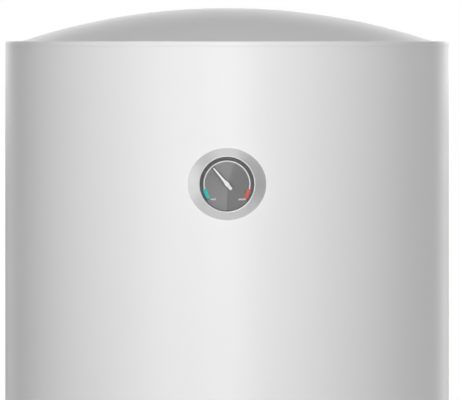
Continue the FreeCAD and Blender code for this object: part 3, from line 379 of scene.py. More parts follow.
def smooth(piece):
    """Shades a piece smoothly, except across its sharp edges."""
    for face in piece.data.polygons:
        face.use_smooth = True
    piece.data.set_sharp_from_angle(angle=math.radians(32))


def as_piece(name, mesh, body, slot, nodes=(), look=None):
    """Makes an object of a mesh, rides it on its body and gives it its material."""
    piece = bpy.data.objects.new(name, mesh)
    bpy.context.scene.collection.objects.link(piece)
    piece.data.materials.clear()
    piece.data.materials.append(look or LOOKS[slot])
    smooth(piece)
    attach(piece, body)
    if nodes:
        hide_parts(*nodes)
    return piece


def lathe_mesh(name, outline, turn=UP, at=(0, 0, 0), segments=96, warp=None):
    """Turns a closed outline of (radius, height) points about local Z. warp(r, z, angle) moves a point."""
    bm = bmesh.new()
    columns = []
    for step in range(segments):
        angle = TAU * step / segments
        column = []
        for r, z in outline:
            if warp:
                r, z = warp(r, z, angle)
            column.append(bm.verts.new((r * math.cos(angle), r * math.sin(angle), z)))
        columns.append(column)
    count = len(outline)
    for step in range(segments):
        here, there = columns[step], columns[(step + 1) % segments]
        for row in range(count):
            after = (row + 1) % count
            if outline[row][0] > 0 or outline[after][0] > 0:
                bm.faces.new((here[row], there[row], there[after], here[after]))
    return finish_mesh(bm, name, turn, at)


def prism_mesh(name, outline, low, high, turn=UP, at=(0, 0, 0), soft=0.0):
    """A straight prism of an outline, with its edges softened by a small bevel."""
    bm = bmesh.new()
    lower = [bm.verts.new((x, y, low)) for x, y in outline]
    upper = [bm.verts.new((x, y, high)) for x, y in outline]
    bm.faces.new(lower)
    bm.faces.new(upper)
    for n in range(len(outline)):
        after = (n + 1) % len(outline)
        bm.faces.new((lower[n], lower[after], upper[after], upper[n]))
    bmesh.ops.recalc_face_normals(bm, faces=bm.faces)
    if soft:
        soften_edges(bm, soft)
    return finish_mesh(bm, name, turn, at)


def soften_edges(bm, width):
    sharp = [e for e in bm.edges if e.is_manifold and e.calc_face_angle() > math.radians(28)]
    bmesh.ops.bevel(bm, geom=sharp, offset=width, segments=3, profile=0.5, affect="EDGES", clamp_overlap=True)


def softened(source, width):
    """A copy of a CAD node's mesh with its sharp edges rounded, which takes the node's place."""
    bm = bmesh.new()
    bm.from_mesh(frame["nodes"][source].data)
    bmesh.ops.remove_doubles(bm, verts=bm.verts, dist=1e-7)
    bmesh.ops.dissolve_limit(bm, angle_limit=math.radians(0.6), verts=bm.verts, edges=bm.edges)
    soften_edges(bm, width * MM)
    mesh = bpy.data.meshes.new(source + "_finished")
    bm.to_mesh(mesh)
    bm.free()
    body = frame["nodes"][source]["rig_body"]
    return as_piece(source + "_finished", mesh, body, SLOT_OF[source], [source])


def carve(piece, tools):
    """Cuts the tools out of a piece's mesh and deletes them."""
    look = piece.data.materials[0]
    for tool in tools:
        modifier = piece.modifiers.new("carve", "BOOLEAN")
        modifier.object = tool
        modifier.operation = "DIFFERENCE"
        modifier.solver = "EXACT"
    bpy.context.view_layer.update()
    shaped = piece.evaluated_get(bpy.context.evaluated_depsgraph_get())
    mesh = bpy.data.meshes.new_from_object(shaped)
    piece.modifiers.clear()
    piece.data = mesh
    mesh.materials.clear()
    mesh.materials.append(look)
    mesh.polygons.foreach_set("material_index", [0] * len(mesh.polygons))
    for tool in tools:
        bpy.data.objects.remove(tool)
    smooth(piece)
    return piece


def as_tool(mesh):
    """An object to carve with."""
    made = bpy.data.objects.new("tool", mesh)
    bpy.context.scene.collection.objects.link(made)
    return made


def drill(radius, low, high, turn=UP, at=(0, 0, 0), segments=64):
    """A round tool along local Z."""
    outline = [(0, low), (radius, low), (radius, high), (0, high)]
    return as_tool(lathe_mesh("drill", outline, turn, at, segments))


def bar_outline(width, low, high, radius, steps=3):
    """The outline of an upright bar with rounded corners."""
    half = width / 2
    corners = [(-half, low), (half, low), (half, high), (-half, high)]
    return rounded([(x, y, radius) for x, y in corners], steps=steps)


def box_mesh(name, low, high, soft=0.0):
    sides = [(low[0], low[1]), (high[0], low[1]), (high[0], high[1]), (low[0], high[1])]
    return prism_mesh(name, sides, low[2], high[2], soft=soft)


def true_round(piece):
    """Gives the faces that are round about the heater's axis exact normals, so that no facets show."""
    mesh = piece.data
    normals = [Vector(corner.vector) for corner in mesh.corner_normals]
    for face in mesh.polygons:
        for loop in face.loop_indices:
            spot = mesh.vertices[mesh.loops[loop].vertex_index].co
            out = Vector((spot.x - AXIS.x * MM, spot.y - AXIS.y * MM, 0)).normalized()
            along = face.normal.dot(out)
            if abs(along) > 0.999:
                normals[loop] = out if along > 0 else -out
    mesh.normals_split_custom_set(normals)


# ---------------------------------------------------------------- jacket and caps

def jacket():
    """The painted sheet cylinder, with its seam, its thermometer hole and openings for the brackets' legs."""
    low, high = span("outer_jacket")
    hem = 0.12
    case_flange = 2.1          # how far the thermometer's case reaches past its hole
    leg_t, play = 3.0, 0.5     # thickness of a bracket's leg, and the space round it
    outline = rounded([(BODY_R, low.z, hem), (BODY_R, high.z, hem),
                       (BODY_R - SHEET, high.z, hem), (BODY_R - SHEET, low.z, hem)], steps=2)
    skin = as_piece("jacket_skin", lathe_mesh("jacket_skin", outline, at=AXIS, segments=360),
                    "heater", "casing_white", ["outer_jacket"])
    case_r = (span("gauge_case")[1].z - span("gauge_case")[0].z) / 2
    holes = [drill(case_r - case_flange, -20, 20, FACING, GAUGE)]
    for bracket in ("hanging_bracket", "lower_spacer"):
        first, last = span(bracket)
        for side in (-1, 1):
            near, far = sorted(((last.x - leg_t - play) * side, (last.x + play) * side))
            holes.append(as_tool(box_mesh("opening", (near, AXIS.y + 100, first.z - play),
                                          (far, AXIS.y + BODY_R + 5, last.z + play))))
    true_round(carve(skin, holes))
    half, seam_t = 6, 1.3
    strip = rounded([(-half, high.y - seam_t), (half, high.y - seam_t),
                     (half, high.y, 0.6), (-half, high.y, 0.6)], steps=3)
    seam = prism_mesh("jacket_seam", strip, low.z + 1, high.z - 1, soft=0.2)
    as_piece("jacket_seam", seam, "heater", "casing_white")


def dome_line(radius, crease, top, steps=26):
    """A cap's dome and the pressed crease at its foot, from the middle out, over a ledge at height zero."""
    low = top - radius
    foot = math.sqrt((radius + crease) ** 2 - (crease - low) ** 2)
    meet = math.asin(foot / (radius + crease))
    points = [(radius * math.sin(meet * n / steps), low + radius * math.cos(meet * n / steps))
              for n in range(steps + 1)]
    crease_steps = 5
    for n in range(1, crease_steps + 1):
        angle = meet * (1 - n / crease_steps)
        points.append((foot - crease * math.sin(angle), crease - crease * math.cos(angle)))
    return points


def dome_height(radius):
    """Height of a cap's dome over its ledge at a distance from the axis."""
    return RISE - DOME_R + math.sqrt(DOME_R ** 2 - radius ** 2)


def cap_outline(inner=0.0):
    """A pressed cap's section: dome, crease, ledge, rolled lip and skirt, outside a middle hole's radius."""
    outside = [p for p in dome_line(DOME_R, CREASE, RISE) if p[0] >= inner]
    inside = [(r, z - SHEET) for r, z in dome_line(DOME_R - SHEET, CREASE + SHEET, RISE) if r >= inner]
    if inner:
        height = dome_height(inner)
        outside.insert(0, (inner, height))
        inside.insert(0, (inner, height - SHEET))
    else:
        inside[0] = (0.0, RISE - SHEET)
    flat_from = BODY_R - 8
    hem = -LIP - JOINT
    lip = rounded([(flat_from, 0), (BODY_R, 0, LIP_ROUND), (BODY_R, hem, 0.15), (SKIRT_R, hem),
                   (SKIRT_R, -SKIRT, 0.3), (SKIRT_R - SHEET, -SKIRT, 0.3), (SKIRT_R - SHEET, -SHEET),
                   (flat_from, -SHEET)], closed=False, steps=6)
    return outside + lip + inside[::-1]


def below(x, y, depth=0.0):
    """A place at a depth below the bottom ledge."""
    return (x, y, FOOT_Z - depth)


def screw_places(depth=0.0):
    """The places of the service cover's screws at a depth below the bottom ledge."""
    for n in range(SCREWS):
        angle = TAU * (n + 0.5) / SCREWS
        yield below(AXIS.x + SCREW_RING * math.cos(angle), AXIS.y + SCREW_RING * math.sin(angle), depth)


def caps():
    upper = lathe_mesh("top_cap_skin", cap_outline(), at=AXIS + Vector((0, 0, RIM_Z)), segments=360)
    as_piece("top_cap_skin", upper, "heater", "casing_white", ["top_cap"])
    at = AXIS + Vector((0, 0, FOOT_Z))
    lower = lathe_mesh("bottom_cap_skin", cap_outline(HATCH_R), DOWN, at, segments=360)
    skin = as_piece("bottom_cap_skin", lower, "heater", "casing_white", ["bottom_cap"])
    holes = []
    for collar in ("hot_collar", "cold_collar"):
        spot = middle(collar)
        holes.append(drill(PIPE_HOLE_R, -60, 10, UP, below(spot.x, spot.y)))
    for spot in screw_places():
        holes.append(drill(1.7, -60, 10, UP, spot, 24))
    carve(skin, holes)


jacket()
caps()


# ---------------------------------------------------------------- thermometer
# Outlines are (distance from the dial's middle, distance out from the jacket's front).

def jacket_depth(x):
    """How far out the jacket's surface is at a sideways distance x from its foremost line: zero or less."""
    return math.sqrt(BODY_R ** 2 - x ** 2) - BODY_R


def bezel():
    """A satin cone whose foot follows the round jacket."""
    low, high = span("gauge_bezel")
    dial_low, dial_high = span("gauge_dial")
    window_r = (dial_high.z - dial_low.z) / 2 - 2.0
    front = GAUGE.y - low.y
    foot_r = (high.z - low.z) / 2 - 0.3
    land = 0.6                 # width of the narrow face round the window
    wall = 2.4
    slope = (foot_r - (window_r + land)) / front
    at_jacket = -100.0         # stands for a height that the jacket gives

    def seated(r, out, angle):
        """Lays the foot on the jacket: the cone grows wider where the jacket falls away."""
        if out != at_jacket:
            return r, out
        inner = r < foot_r - 3
        edge = r
        for _ in range(12):
            depth = jacket_depth(edge * math.cos(angle)) + 0.05
            edge = r if inner else foot_r - slope * depth
        return edge, depth

    outline = rounded([(window_r, front - wall), (window_r, front - 0.15, 0.06),
                       (window_r + land, front, 0.1), (foot_r - slope * 0.6, 0.6)], closed=False, steps=4)
    outline += [(foot_r, at_jacket), (window_r + wall, at_jacket), (window_r + wall, front - wall)]
    as_piece("bezel_ring", lathe_mesh("bezel_ring", outline, FACING, GAUGE, 160, seated),
             "heater", "bezel_silver", ["gauge_bezel"])


def dial_sector(name, inner, outer, start, end, out, look):
    """A flat arc laid on the dial, for a print and for painted shadow alike. Angles are degrees clockwise
    from the top.
    """
    thick = 0.05
    bm = bmesh.new()
    steps = max(2, round(abs(end - start) / 2))
    closed = abs(end - start) >= 360
    rows = []
    for step in range(steps + (0 if closed else 1)):
        angle = math.radians(start + (end - start) * step / steps)
        rows.append([bm.verts.new((r * math.sin(angle), r * math.cos(angle), z))
                     for r, z in ((inner, out), (outer, out), (outer, out + thick), (inner, out + thick))])
    for step in range(steps):
        here, there = rows[step], rows[(step + 1) % len(rows)]
        for n in range(4):
            bm.faces.new((here[n], there[n], there[(n + 1) % 4], here[(n + 1) % 4]))
    if not closed:
        bm.faces.new(rows[0])
        bm.faces.new(rows[-1])
    return as_piece(name, finish_mesh(bm, name, FACING, GAUGE), "heater", "dial_grey", look=look)


def dial_prints_and_shadow():
    face = GAUGE.y - span("gauge_dial")[0].y
    dark = plastic("dial_shadow", (0.085, 0.088, 0.09), 0.5, 0.004)
    white = plastic("scale_white", (0.78, 0.78, 0.78), 0.5, 0.004)
    pale = plastic("mark_grey", (0.60, 0.60, 0.60), 0.5, 0.004)
    teal = plastic("cold_teal", (0.005, 0.60, 0.56), 0.5, 0.004)
    red = plastic("hot_red", (0.72, 0.10, 0.045), 0.5, 0.004)
    # The dark band outside the scale, over the top and sides, and the dark ring at the dial's edge are
    # painted shadow of the bezel's recess; the other arcs and marks are prints.
    dial_sector("dial_shadow_band", 23.6, 26.3, -130, 130, face, dark)
    dial_sector("dial_edge_shadow", 26.3, 27.6, -180, 180, face, dark)
    dial_sector("dial_scale", 22.3, 23.6, -102, 102, face + 0.05, white)
    dial_sector("dial_cold", 21.2, 24.6, -128, -102, face + 0.05, teal)
    dial_sector("dial_hot", 21.2, 24.6, 102, 128, face + 0.05, red)
    drop = 15.2
    for name, x, width in (("dial_mark_cold", -13.8, 5.4), ("dial_mark_hot", 15.2, 7.4)):
        bar = bar_outline(width, -0.8, 0.8, 0.6)
        mark = prism_mesh(name, bar, face, face + 0.06, FACING, GAUGE + Vector((x, 0, -drop)))
        as_piece(name, mark, "heater", "dial_grey", look=pale)


def needle():
    """A flat pointer over a thin dark sheet that is painted shadow round it, with a round hub, leaning left
    at rest.
    """
    back = GAUGE.y - span("gauge_needle")[1].y
    lean = Matrix.Rotation(math.radians(40), 4, "Z")
    half = [(0.8, 20.8), (1.4, 3.5), (2.3, 1.0), (2.3, -1.0), (1.5, -2.6), (1.75, -7.0)]
    outline = [(0.0, 21.3)] + half + [(-x, y) for x, y in reversed(half)]
    # A dark sheet under the blade, a little wider and longer than it, is painted shadow round the needle.
    shadow_wide, shadow_long = 0.95, 1.035
    shadow_outline = [(x + math.copysign(shadow_wide, x) if x else 0.0, y * shadow_long) for x, y in outline]
    dark = plastic("needle_shadow", (0.03, 0.03, 0.032), 0.45, 0.004)
    shadow_t, blade_t = 0.16, 0.5
    blade = prism_mesh("needle_blade", outline, back + shadow_t, back + blade_t, FACING @ lean, GAUGE, soft=0.1)
    as_piece("needle_blade", blade, "needle", "needle_white", ["gauge_needle"])
    under = prism_mesh("needle_shadow_sheet", shadow_outline, back, back + shadow_t, FACING @ lean, GAUGE)
    as_piece("needle_shadow_sheet", under, "needle", "needle_white", look=dark)
    arbor_low, arbor_high = span("needle_arbor")
    hub_r = (arbor_high.x - arbor_low.x) / 2 + 0.15
    hub_front = GAUGE.y - arbor_low.y + 0.1
    hub = rounded([(0, back + 0.3), (hub_r, back + 0.3), (hub_r, hub_front, 0.25), (0, hub_front)],
                  closed=False, steps=4)
    as_piece("needle_hub", lathe_mesh("needle_hub", hub, FACING, GAUGE, 48), "needle", "needle_white")


def window():
    """The clear lens: a little domed, with a softened rim."""
    low, high = span("gauge_lens")
    radius = (high.z - low.z) / 2
    front, back = GAUGE.y - low.y, GAUGE.y - high.y
    swell, steps = 0.3, 8
    crown = [(radius * n / steps, front - swell * (n / steps) ** 2) for n in range(steps)]
    rim = rounded([(1, back), (radius, back, 0.2), (radius, front - swell, 0.2),
                   (radius - 1, front - swell + 0.03)], closed=False, steps=2)
    glass = lathe_mesh("lens_window", [(0.0, back)] + rim[1:] + crown[::-1], FACING, GAUGE, 96)
    as_piece("lens_window", glass, "heater", "clear_lens", ["gauge_lens"])


bezel()
dial_prints_and_shadow()
needle()
window()


# ---------------------------------------------------------------- brackets, fasteners and the wall pad

EDGE_ROUND = {
    "hanging_bracket": 0.5, "lower_spacer": 0.5, "cover_screws": 0.12, "gland_nut": 0.3,
    "reset_button": 0.4, "terminal_block": 0.5, "lever_pin": 0.2, "discharge_spout": 0.3,
    "flange_nuts": 0.3, "flange_plate": 0.6, "anode_bolt": 0.3, "lens_spacer": 0.1,
}
for source, width in EDGE_ROUND.items():
    softened(source, width)


def wall_pad():
    """A ribbed rubber pad on the lower spacer."""
    low, high = span("spacer_pad")
    block = box_mesh("wall_pad", low, high, soft=1.0)
    pad = as_piece("wall_pad", block, "heater", "pad_rubber", ["spacer_pad"])
    grooves, half, deep, margin = 9, 1.1, 1.2, 2.5
    pitch = (high.x - low.x) / (grooves + 1)
    cuts = []
    for n in range(1, grooves + 1):
        x = low.x + pitch * n
        cuts.append(as_tool(box_mesh("groove", (x - half, high.y - deep, low.z + margin),
                                     (x + half, high.y + 1, high.z - margin))))
    carve(pad, cuts)


wall_pad()


# ---------------------------------------------------------------- pipes

def thread_radius(along, angle, length):
    """The radius of a pipe thread, which starts shallow and fades out over its last turn."""
    phase = (along / THREAD_PITCH + angle / TAU) % 1.0
    tooth = min(1.0, max(0.0, abs(phase - 0.5) * 2.6 - 0.15))
    fade = min(1.0, max(0.0, (length - along) / THREAD_PITCH)) * min(1.0, (along + 0.4) / 1.6)
    return THREAD_R - THREAD_DEEP * (1 - tooth) * fade


def threaded_rows(foot, length):
    """Heights of the rows of vertices that a thread needs."""
    rows = round(length / THREAD_PITCH * 8)
    return [foot + length * n / rows for n in range(rows + 1)]


def nipple(name):
    """A pipe stub with its thread cut at the lower end."""
    low, high = span(name)
    spot = middle(name)
    outer, length = (high.x - low.x) / 2, 22.0
    rows = [(THREAD_R, z) for z in threaded_rows(low.z, length)]
    outline = [(PIPE_BORE_R, low.z), *rows, (outer, low.z + length + 0.4), (outer, high.z - 0.5),
               (outer - 0.5, high.z), (PIPE_BORE_R, high.z)]

    def wind(r, z, angle):
        if r != THREAD_R:
            return r, z
        return thread_radius(z - low.z, angle, length), z

    pipe = lathe_mesh(name + "_pipe", outline, UP, (spot.x, spot.y, 0), 72, wind)
    as_piece(name + "_pipe", pipe, "heater", "nipple_steel", [name])


def collar(name):
    """A moulded ring round a pipe, with a ring groove in its lower face and a soft outer corner."""
    low, high = span(name)
    spot = middle(name)
    outer, inner, groove = (high.x - low.x) / 2, 10.75, 0.9
    outline = rounded([(inner, low.z, 0.4), (inner + 1.6, low.z, 0.3), (inner + 2.0, low.z + groove, 0.3),
                       (outer - 3.4, low.z + groove, 0.3), (outer - 3.0, low.z, 0.3), (outer, low.z, 1.6),
                       (outer, high.z - 1.6), (outer - 1, high.z - 0.6), (inner, high.z - 0.6)], steps=4)

    def lean(r, z, angle):
        """Lays the upper face on the dome, which slopes outwards."""
        if z < high.z - 1.7:
            return r, z
        x, y = spot.x + r * math.cos(angle), spot.y + r * math.sin(angle)
        return r, FOOT_Z - dome_height(math.hypot(x - AXIS.x, y - AXIS.y)) - 0.15

    ring = lathe_mesh(name + "_ring", outline, UP, (spot.x, spot.y, 0), 96, lean)
    as_piece(name + "_ring", ring, "heater", SLOT_OF[name], [name])


for pipe in ("hot_nipple", "cold_nipple"):
    nipple(pipe)
for ring in ("hot_collar", "cold_collar"):
    collar(ring)


# ---------------------------------------------------------------- service cover and its fittings
# Outlines are (distance from the axis, depth below the bottom ledge).

def seat_depth(radius, drop):
    """A depth measured from the bottom dome's outer surface."""
    return dome_height(radius) + drop


def service_cover():
    """The moulded cover, with a rim on the dome, a ring groove and holes for its fittings and screws."""
    low, high = span("service_cover")
    rim_r, deep = (high.x - low.x) / 2, FOOT_Z - low.z
    wall_r, foot_r, thick, rim_t = rim_r - 9.0, rim_r - 14.5, 2.5, 3.5
    outline = rounded([
        (wall_r - thick, seat_depth(wall_r - thick, 0.1)),
        (rim_r, seat_depth(rim_r, 0.1), 0.4),
        (rim_r, seat_depth(rim_r, rim_t), 1.2),
        (wall_r, seat_depth(wall_r, rim_t), 1.6),
        (foot_r, deep, 6.0),
        (72, deep, 0.5), (71.2, deep - 0.8, 0.4), (69.2, deep - 0.8, 0.4), (68.4, deep, 0.5),
        (0, deep), (0, deep - thick), (foot_r - thick, deep - thick, 3.5),
    ], steps=8)
    shell = lathe_mesh("service_cover_shell", outline, DOWN, AXIS + Vector((0, 0, FOOT_Z)), 256)
    cover = as_piece("service_cover_shell", shell, "heater", "cover_white", ["service_cover"])
    knob, lamp, gland = middle("temperature_knob"), middle("indicator_lamp"), middle("cable_gland")
    tools = [drill(5.0, -5, 5, DOWN, below(knob.x, knob.y, deep)),
             drill(24.5, -0.7, 5, DOWN, below(knob.x, knob.y, deep), 128),
             drill(4.1, -5, 5, DOWN, below(lamp.x, lamp.y, deep)),
             drill(8.1, -5, 5, DOWN, below(gland.x, gland.y, deep))]
    for spot in screw_places(seat_depth(SCREW_RING, 2.1)):
        tools.append(drill(1.8, -10, 10, DOWN, spot, 32))
        tools.append(drill(3.4, 0, 10, DOWN, spot, 48))
    carve(cover, tools)


def knob_scale():
    """Raised marks round the knob that grow from cool to hot."""
    spot = middle("temperature_knob")
    deep = FOOT_Z - span("service_cover")[0].z
    ink = plastic("scale_ink", (0.10, 0.105, 0.11), 0.45, 0.006)
    for n in range(11):
        turn = DOWN @ Matrix.Rotation(math.radians(-135 + 27 * n), 4, "Z")
        bar = bar_outline(0.7 + 0.11 * n, 20.2, 23.2, 0.25, steps=2)
        mark = prism_mesh("knob_mark", bar, -0.75, -0.35, turn, below(spot.x, spot.y, deep))
        as_piece(f"knob_mark_{n}", mark, "heater", "cover_white", look=ink)


def knob():
    """A fluted knob on a round skirt, with a white pointer line."""
    low, high = span("temperature_knob")
    spot = middle("temperature_knob")
    skirt_r = (high.x - low.x) / 2
    tall = high.z - low.z - 0.4
    outline = rounded([
        (3.0, 0), (skirt_r, 0, 0.4), (skirt_r, 2.5), (skirt_r - 0.8, 3.5, 0.6), (14.8, 3.5, 0.4),
        (14.75, 4.4), (14.5, 8.0), (14.2, 12.0), (14.0, tall, 1.2), (10.5, tall, 0.6),
        (10.0, tall - 0.5, 0.5), (0, tall - 0.5), (0, 8.0), (3.0, 8.0),
    ], steps=4)
    flutes, first = 12, math.radians(15)
    flute_from, flute_r, flute_centre = 3.7, 2.6, 15.6

    def flute(r, z, angle):
        if r < 11.5 or z < flute_from:
            return r, z
        off = ((angle - first) / TAU * flutes + 0.5) % 1.0 - 0.5
        across = abs(off) * TAU / flutes * flute_centre
        if across >= flute_r:
            return r, z
        deep = flute_centre - math.sqrt(flute_r ** 2 - across ** 2)
        return min(r, max(deep, r - (z - flute_from) * 1.2)), z

    at = (spot.x, spot.y, high.z)
    grip = lathe_mesh("knob_grip", outline, DOWN, at, 288, flute)
    as_piece("knob_grip", grip, "knob", "knob_plastic", ["temperature_knob"])
    white = plastic("pointer_white", (0.75, 0.75, 0.75), 0.4, 0.004)
    line = bar_outline(1.4, 3.5, 12.5, 0.6)
    pointer = prism_mesh("knob_pointer", line, tall - 0.6, tall + 0.3, DOWN, at, soft=0.1)
    as_piece("knob_pointer", pointer, "knob", "knob_plastic", look=white)


def gland():
    """The cord gland: a hexagonal flange, a ribbed dome nut and a soft sealing ring in its mouth."""
    low, high = span("cable_gland")
    spot = middle("cable_gland")
    flange_r = (high.x - low.x) / 2
    top = FOOT_Z - high.z
    outline = rounded([
        (4.2, top), (8.0, top), (8.0, top + 9.0), (flange_r, top + 9.0, 0.5), (flange_r, top + 13.0, 0.6),
        (9.3, top + 13.2), (9.0, top + 14.0), (9.0, top + 18.5, 0.8), (6.5, top + 23.0, 0.6),
        (4.2, top + 23.0, 0.4),
    ], steps=4)

    def grip(r, z, angle):
        """Cuts the flange to a hexagon and the nut's side to ribs."""
        if r > 9.5:
            sector = (angle % (TAU / 6)) - TAU / 12
            return min(r, flange_r * math.cos(TAU / 12) / math.cos(sector)), z
        if r > 8.4 and z > top + 13.6:
            return r - 0.35 * (0.5 + 0.5 * math.cos(angle * 18)), z
        return r, z

    at = below(spot.x, spot.y)
    body = lathe_mesh("gland_body", outline, DOWN, at, 216, grip)
    as_piece("gland_body", body, "heater", "gland_plastic", ["cable_gland"])
    seal = rounded([(3.9, top + 19.0, 0.4), (5.4, top + 19.0, 0.4), (5.4, top + 22.6, 0.4),
                    (3.9, top + 22.2, 0.7)], steps=3)
    as_piece("gland_seal", lathe_mesh("gland_seal", seal, DOWN, at, 72), "heater", "seal_rubber")


def lamp():
    """A red lens with rings moulded in its dome."""
    low, high = span("indicator_lamp")
    spot = middle("indicator_lamp")
    top, foot = FOOT_Z - high.z, FOOT_Z - low.z
    dome_r, rings = 3.9, 12
    dome = []
    for n in range(rings):
        r = dome_r * (1 - n / rings)
        dome.append((r, foot - 0.15 - 1.9 * (r / dome_r) ** 2 + 0.12 * (n % 2)))
    collar = rounded([(4.0, top), (4.0, top + 8.0), (5.5, top + 8.0, 0.3), (5.5, top + 9.3, 0.5),
                      (4.2, top + 9.8)], closed=False, steps=3)
    outline = [(0.0, top), *collar, *dome, (0.0, foot - 0.1)]
    lens = lathe_mesh("lamp_dome", outline, DOWN, below(spot.x, spot.y), 72)
    as_piece("lamp_dome", lens, "heater", "lamp_red", ["indicator_lamp"])


service_cover()
knob_scale()
knob()
gland()
lamp()


# ---------------------------------------------------------------- safety valve

def valve():
    """The valve's body, with its hexagon's corners chamfered and its lower thread cut."""
    low, high = span("valve_body")
    spot = middle("cold_nipple")
    axis = (spot.x, spot.y, 0)
    body = softened("valve_body", 0.35)
    corner, hexagon_tall = 15.6, 16.0
    cuts = []
    for face, side in ((high.z, 1), (high.z - hexagon_tall, -1)):
        wedge = [(corner - 1.6, face + 0.4 * side), (corner + 1.5, face + 0.4 * side),
                 (corner + 1.5, face - 1.79 * side)]
        cuts.append(as_tool(lathe_mesh("chamfer", wedge if side < 0 else wedge[::-1], UP, axis, 120)))
    root, outside = THREAD_R - THREAD_DEEP - 0.05, 14
    thread_top = high.z - 44.4
    sleeve = [(root, low.z - 1), (outside, low.z - 1), (outside, thread_top), (root, thread_top)]
    cuts.append(as_tool(lathe_mesh("turned_down", sleeve, UP, axis, 96)))
    carve(body, cuts)
    length = thread_top - low.z
    rows = [(THREAD_R, z) for z in threaded_rows(low.z, length - 0.8)]
    outline = [(root - 0.4, low.z + 0.02), *rows, (root + 0.1, thread_top), (root - 0.4, thread_top)]

    def wind(r, z, angle):
        return (thread_radius(z - low.z, angle, length), z) if r == THREAD_R else (r, z)

    thread = lathe_mesh("valve_thread", outline, UP, axis, 72, wind)
    as_piece("valve_thread", thread, "heater", "valve_nickel")


def bonnet():
    """The knurled cap that holds the relief spring."""
    low, high = span("relief_bonnet")
    spot = middle("relief_bonnet")
    outer, long = (high.z - low.z) / 2, high.x - low.x
    inner, stem_hole, end_t = 9.05, 2.05, 4.0
    outline = rounded([(inner, 0, 0.2), (outer, 0, 0.5), (outer, long - 3.4, 0.4),
                       (outer - 0.7, long - 3.0, 0.3), (outer - 0.7, long, 0.7), (stem_hole, long, 0.2),
                       (stem_hole, long - end_t), (inner, long - end_t)], steps=4)

    def knurl(r, z, angle):
        if r < outer - 0.2 or not 0.6 < z < long - 3.5:
            return r, z
        return r - 0.3 * (0.5 + 0.5 * math.cos(angle * 40)), z

    cap = lathe_mesh("bonnet_cap", outline, ALONG_X, (low.x, spot.y, spot.z), 320, knurl)
    as_piece("bonnet_cap", cap, "heater", "valve_nickel", ["relief_bonnet"])


def lever():
    """The cam lever, with ribs for the thumb across its end."""
    softened("valve_lever", 0.45)
    low, high = span("valve_lever")
    near, far, margin, half = low.x + 6.9, low.x + 8.2, 2.4, 0.6
    for n in range(4):
        z = low.z + 3.0 + 3.2 * n
        rib = box_mesh("rib", (near, low.y + margin, z - half), (far, high.y - margin, z + half), soft=0.3)
        as_piece(f"lever_rib_{n}", rib, "lever", "lever_red")


def spring(source):
    """A coil copied from its CAD node into a mesh of its own, which rides on the heater's body."""
    coil = as_piece(source + "_coil", frame["nodes"][source].data.copy(), "heater", SLOT_OF[source], [source])
    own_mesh(coil)


valve()
bonnet()
lever()
spring("relief_spring")
spring("check_spring")


# ---------------------------------------------------------------- studio, in metres but for the floor

FLOOR_R = 1300.0           # in millimetres, as are the next two
FLOOR_Z = -620.0
FLOOR_THICK = 8.0
AMBIENT = 0.07
LAMP_DISTANCE = 3.0
CAMERA_DISTANCE = 15.0
VIEW_WIDTH = 0.4668        # seen at the heater's axis
STRIP_SIZE = (1.1, 5.0)
STRIP_AIM = -0.05
STRIPS = {-150: 17.5, -30: 35.0, 0: 66.5, 30: 9.8, 90: 2.4, 120: 13.4, 150: 32.0}  # azimuth: watts


def area_light(name, azimuth, elevation, aim_height, size, power):
    """A soft lamp that faces the heater's axis, and isn't seen itself. Azimuth 0 is the front."""
    lamp = bpy.data.lights.new(name, "AREA")
    lamp.shape = "RECTANGLE"
    lamp.size, lamp.size_y = size
    lamp.energy = power
    turn, rise = math.radians(azimuth), math.radians(elevation)
    outward = Vector((math.sin(turn) * math.cos(rise), -math.cos(turn) * math.cos(rise), math.sin(rise)))
    holder = bpy.data.objects.new(name, lamp)
    holder.location = Vector((0, AXIS.y * MM, aim_height)) + outward * LAMP_DISTANCE
    holder.rotation_euler = (-outward).to_track_quat("-Z", "Y").to_euler()
    holder.visible_camera = False
    bpy.context.scene.collection.objects.link(holder)
    return holder


def lights():
    for azimuth, power in STRIPS.items():
        area_light(f"strip_{azimuth}", azimuth, 0, STRIP_AIM, STRIP_SIZE, power)
    area_light("behind_the_top", 180, 8, 0.13, (3.0, 1.0), 20.0)
    area_light("overhead", 0, 88, 0.0, (3.4, 3.4), 33.0)
    bezel_light = area_light("bezel_light", -98, -8, 0.0, (1.0, 6.0), 46.0)
    bezel_light.visible_diffuse = False
    lit = bpy.data.collections.new("lit_by_bezel_light")
    lit.objects.link(bpy.data.objects["bezel_ring"])
    bezel_light.light_linking.receiver_collection = lit


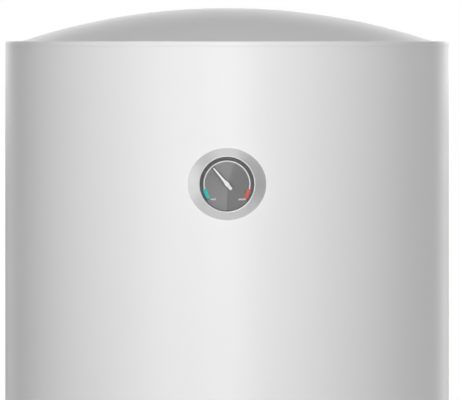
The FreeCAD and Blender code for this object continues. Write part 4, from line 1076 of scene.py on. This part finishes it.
def floor():
    """A pale disc that looks a little lighter than it lights."""
    material = new_material("pale_floor")
    seen = node(material, "ShaderNodeLightPath").outputs["Is Camera Ray"]
    surface(material,
            Base_Color=blend(material, noise(material, 2.0), (0.80, 0.80, 0.80), (0.84, 0.84, 0.84)),
            Roughness=0.7,
            Emission_Color=(1.0, 1.0, 1.0),
            Emission_Strength=spread(material, seen, 0.0, 0.32))
    outline = [(0, 0), (FLOOR_R, 0), (FLOOR_R, -FLOOR_THICK), (0, -FLOOR_THICK)]
    mesh = lathe_mesh("floor", outline, at=AXIS + Vector((0, 0, FLOOR_Z)), segments=128)
    disc = bpy.data.objects.new("floor", mesh)
    disc.data.materials.append(material)
    bpy.context.scene.collection.objects.link(disc)


def surroundings():
    """A white backdrop, which lights the heater only faintly."""
    world = bpy.data.worlds.new("studio")
    world.use_nodes = True
    bpy.context.scene.world = world
    tree = world.node_tree
    background = tree.nodes["Background"]
    background.inputs["Color"].default_value = (1, 1, 1, 1)
    seen = tree.nodes.new("ShaderNodeLightPath")
    strength = tree.nodes.new("ShaderNodeMapRange")
    tree.links.new(seen.outputs["Is Camera Ray"], strength.inputs["Value"])
    strength.inputs["To Min"].default_value = AMBIENT
    strength.inputs["To Max"].default_value = 1.0
    tree.links.new(strength.outputs["Result"], background.inputs["Strength"])


def camera():
    """A long lens, almost level with the heater's top."""
    data = bpy.data.cameras.new("camera")
    data.sensor_width = 36.0
    data.lens = data.sensor_width * CAMERA_DISTANCE / VIEW_WIDTH
    data.clip_end = 60.0
    holder = bpy.data.objects.new("camera", data)
    aside = 0.003
    aim = Vector((aside, AXIS.y * MM, -0.0313))
    holder.location = (aside, AXIS.y * MM - CAMERA_DISTANCE, 0.130)
    holder.rotation_mode = "QUATERNION"
    holder.rotation_quaternion = (aim - holder.location).to_track_quat("-Z", "Y")
    bpy.context.scene.collection.objects.link(holder)
    bpy.context.scene.camera = holder
    bpy.context.scene.view_settings.view_transform = "Standard"


floor()
surroundings()
lights()
camera()
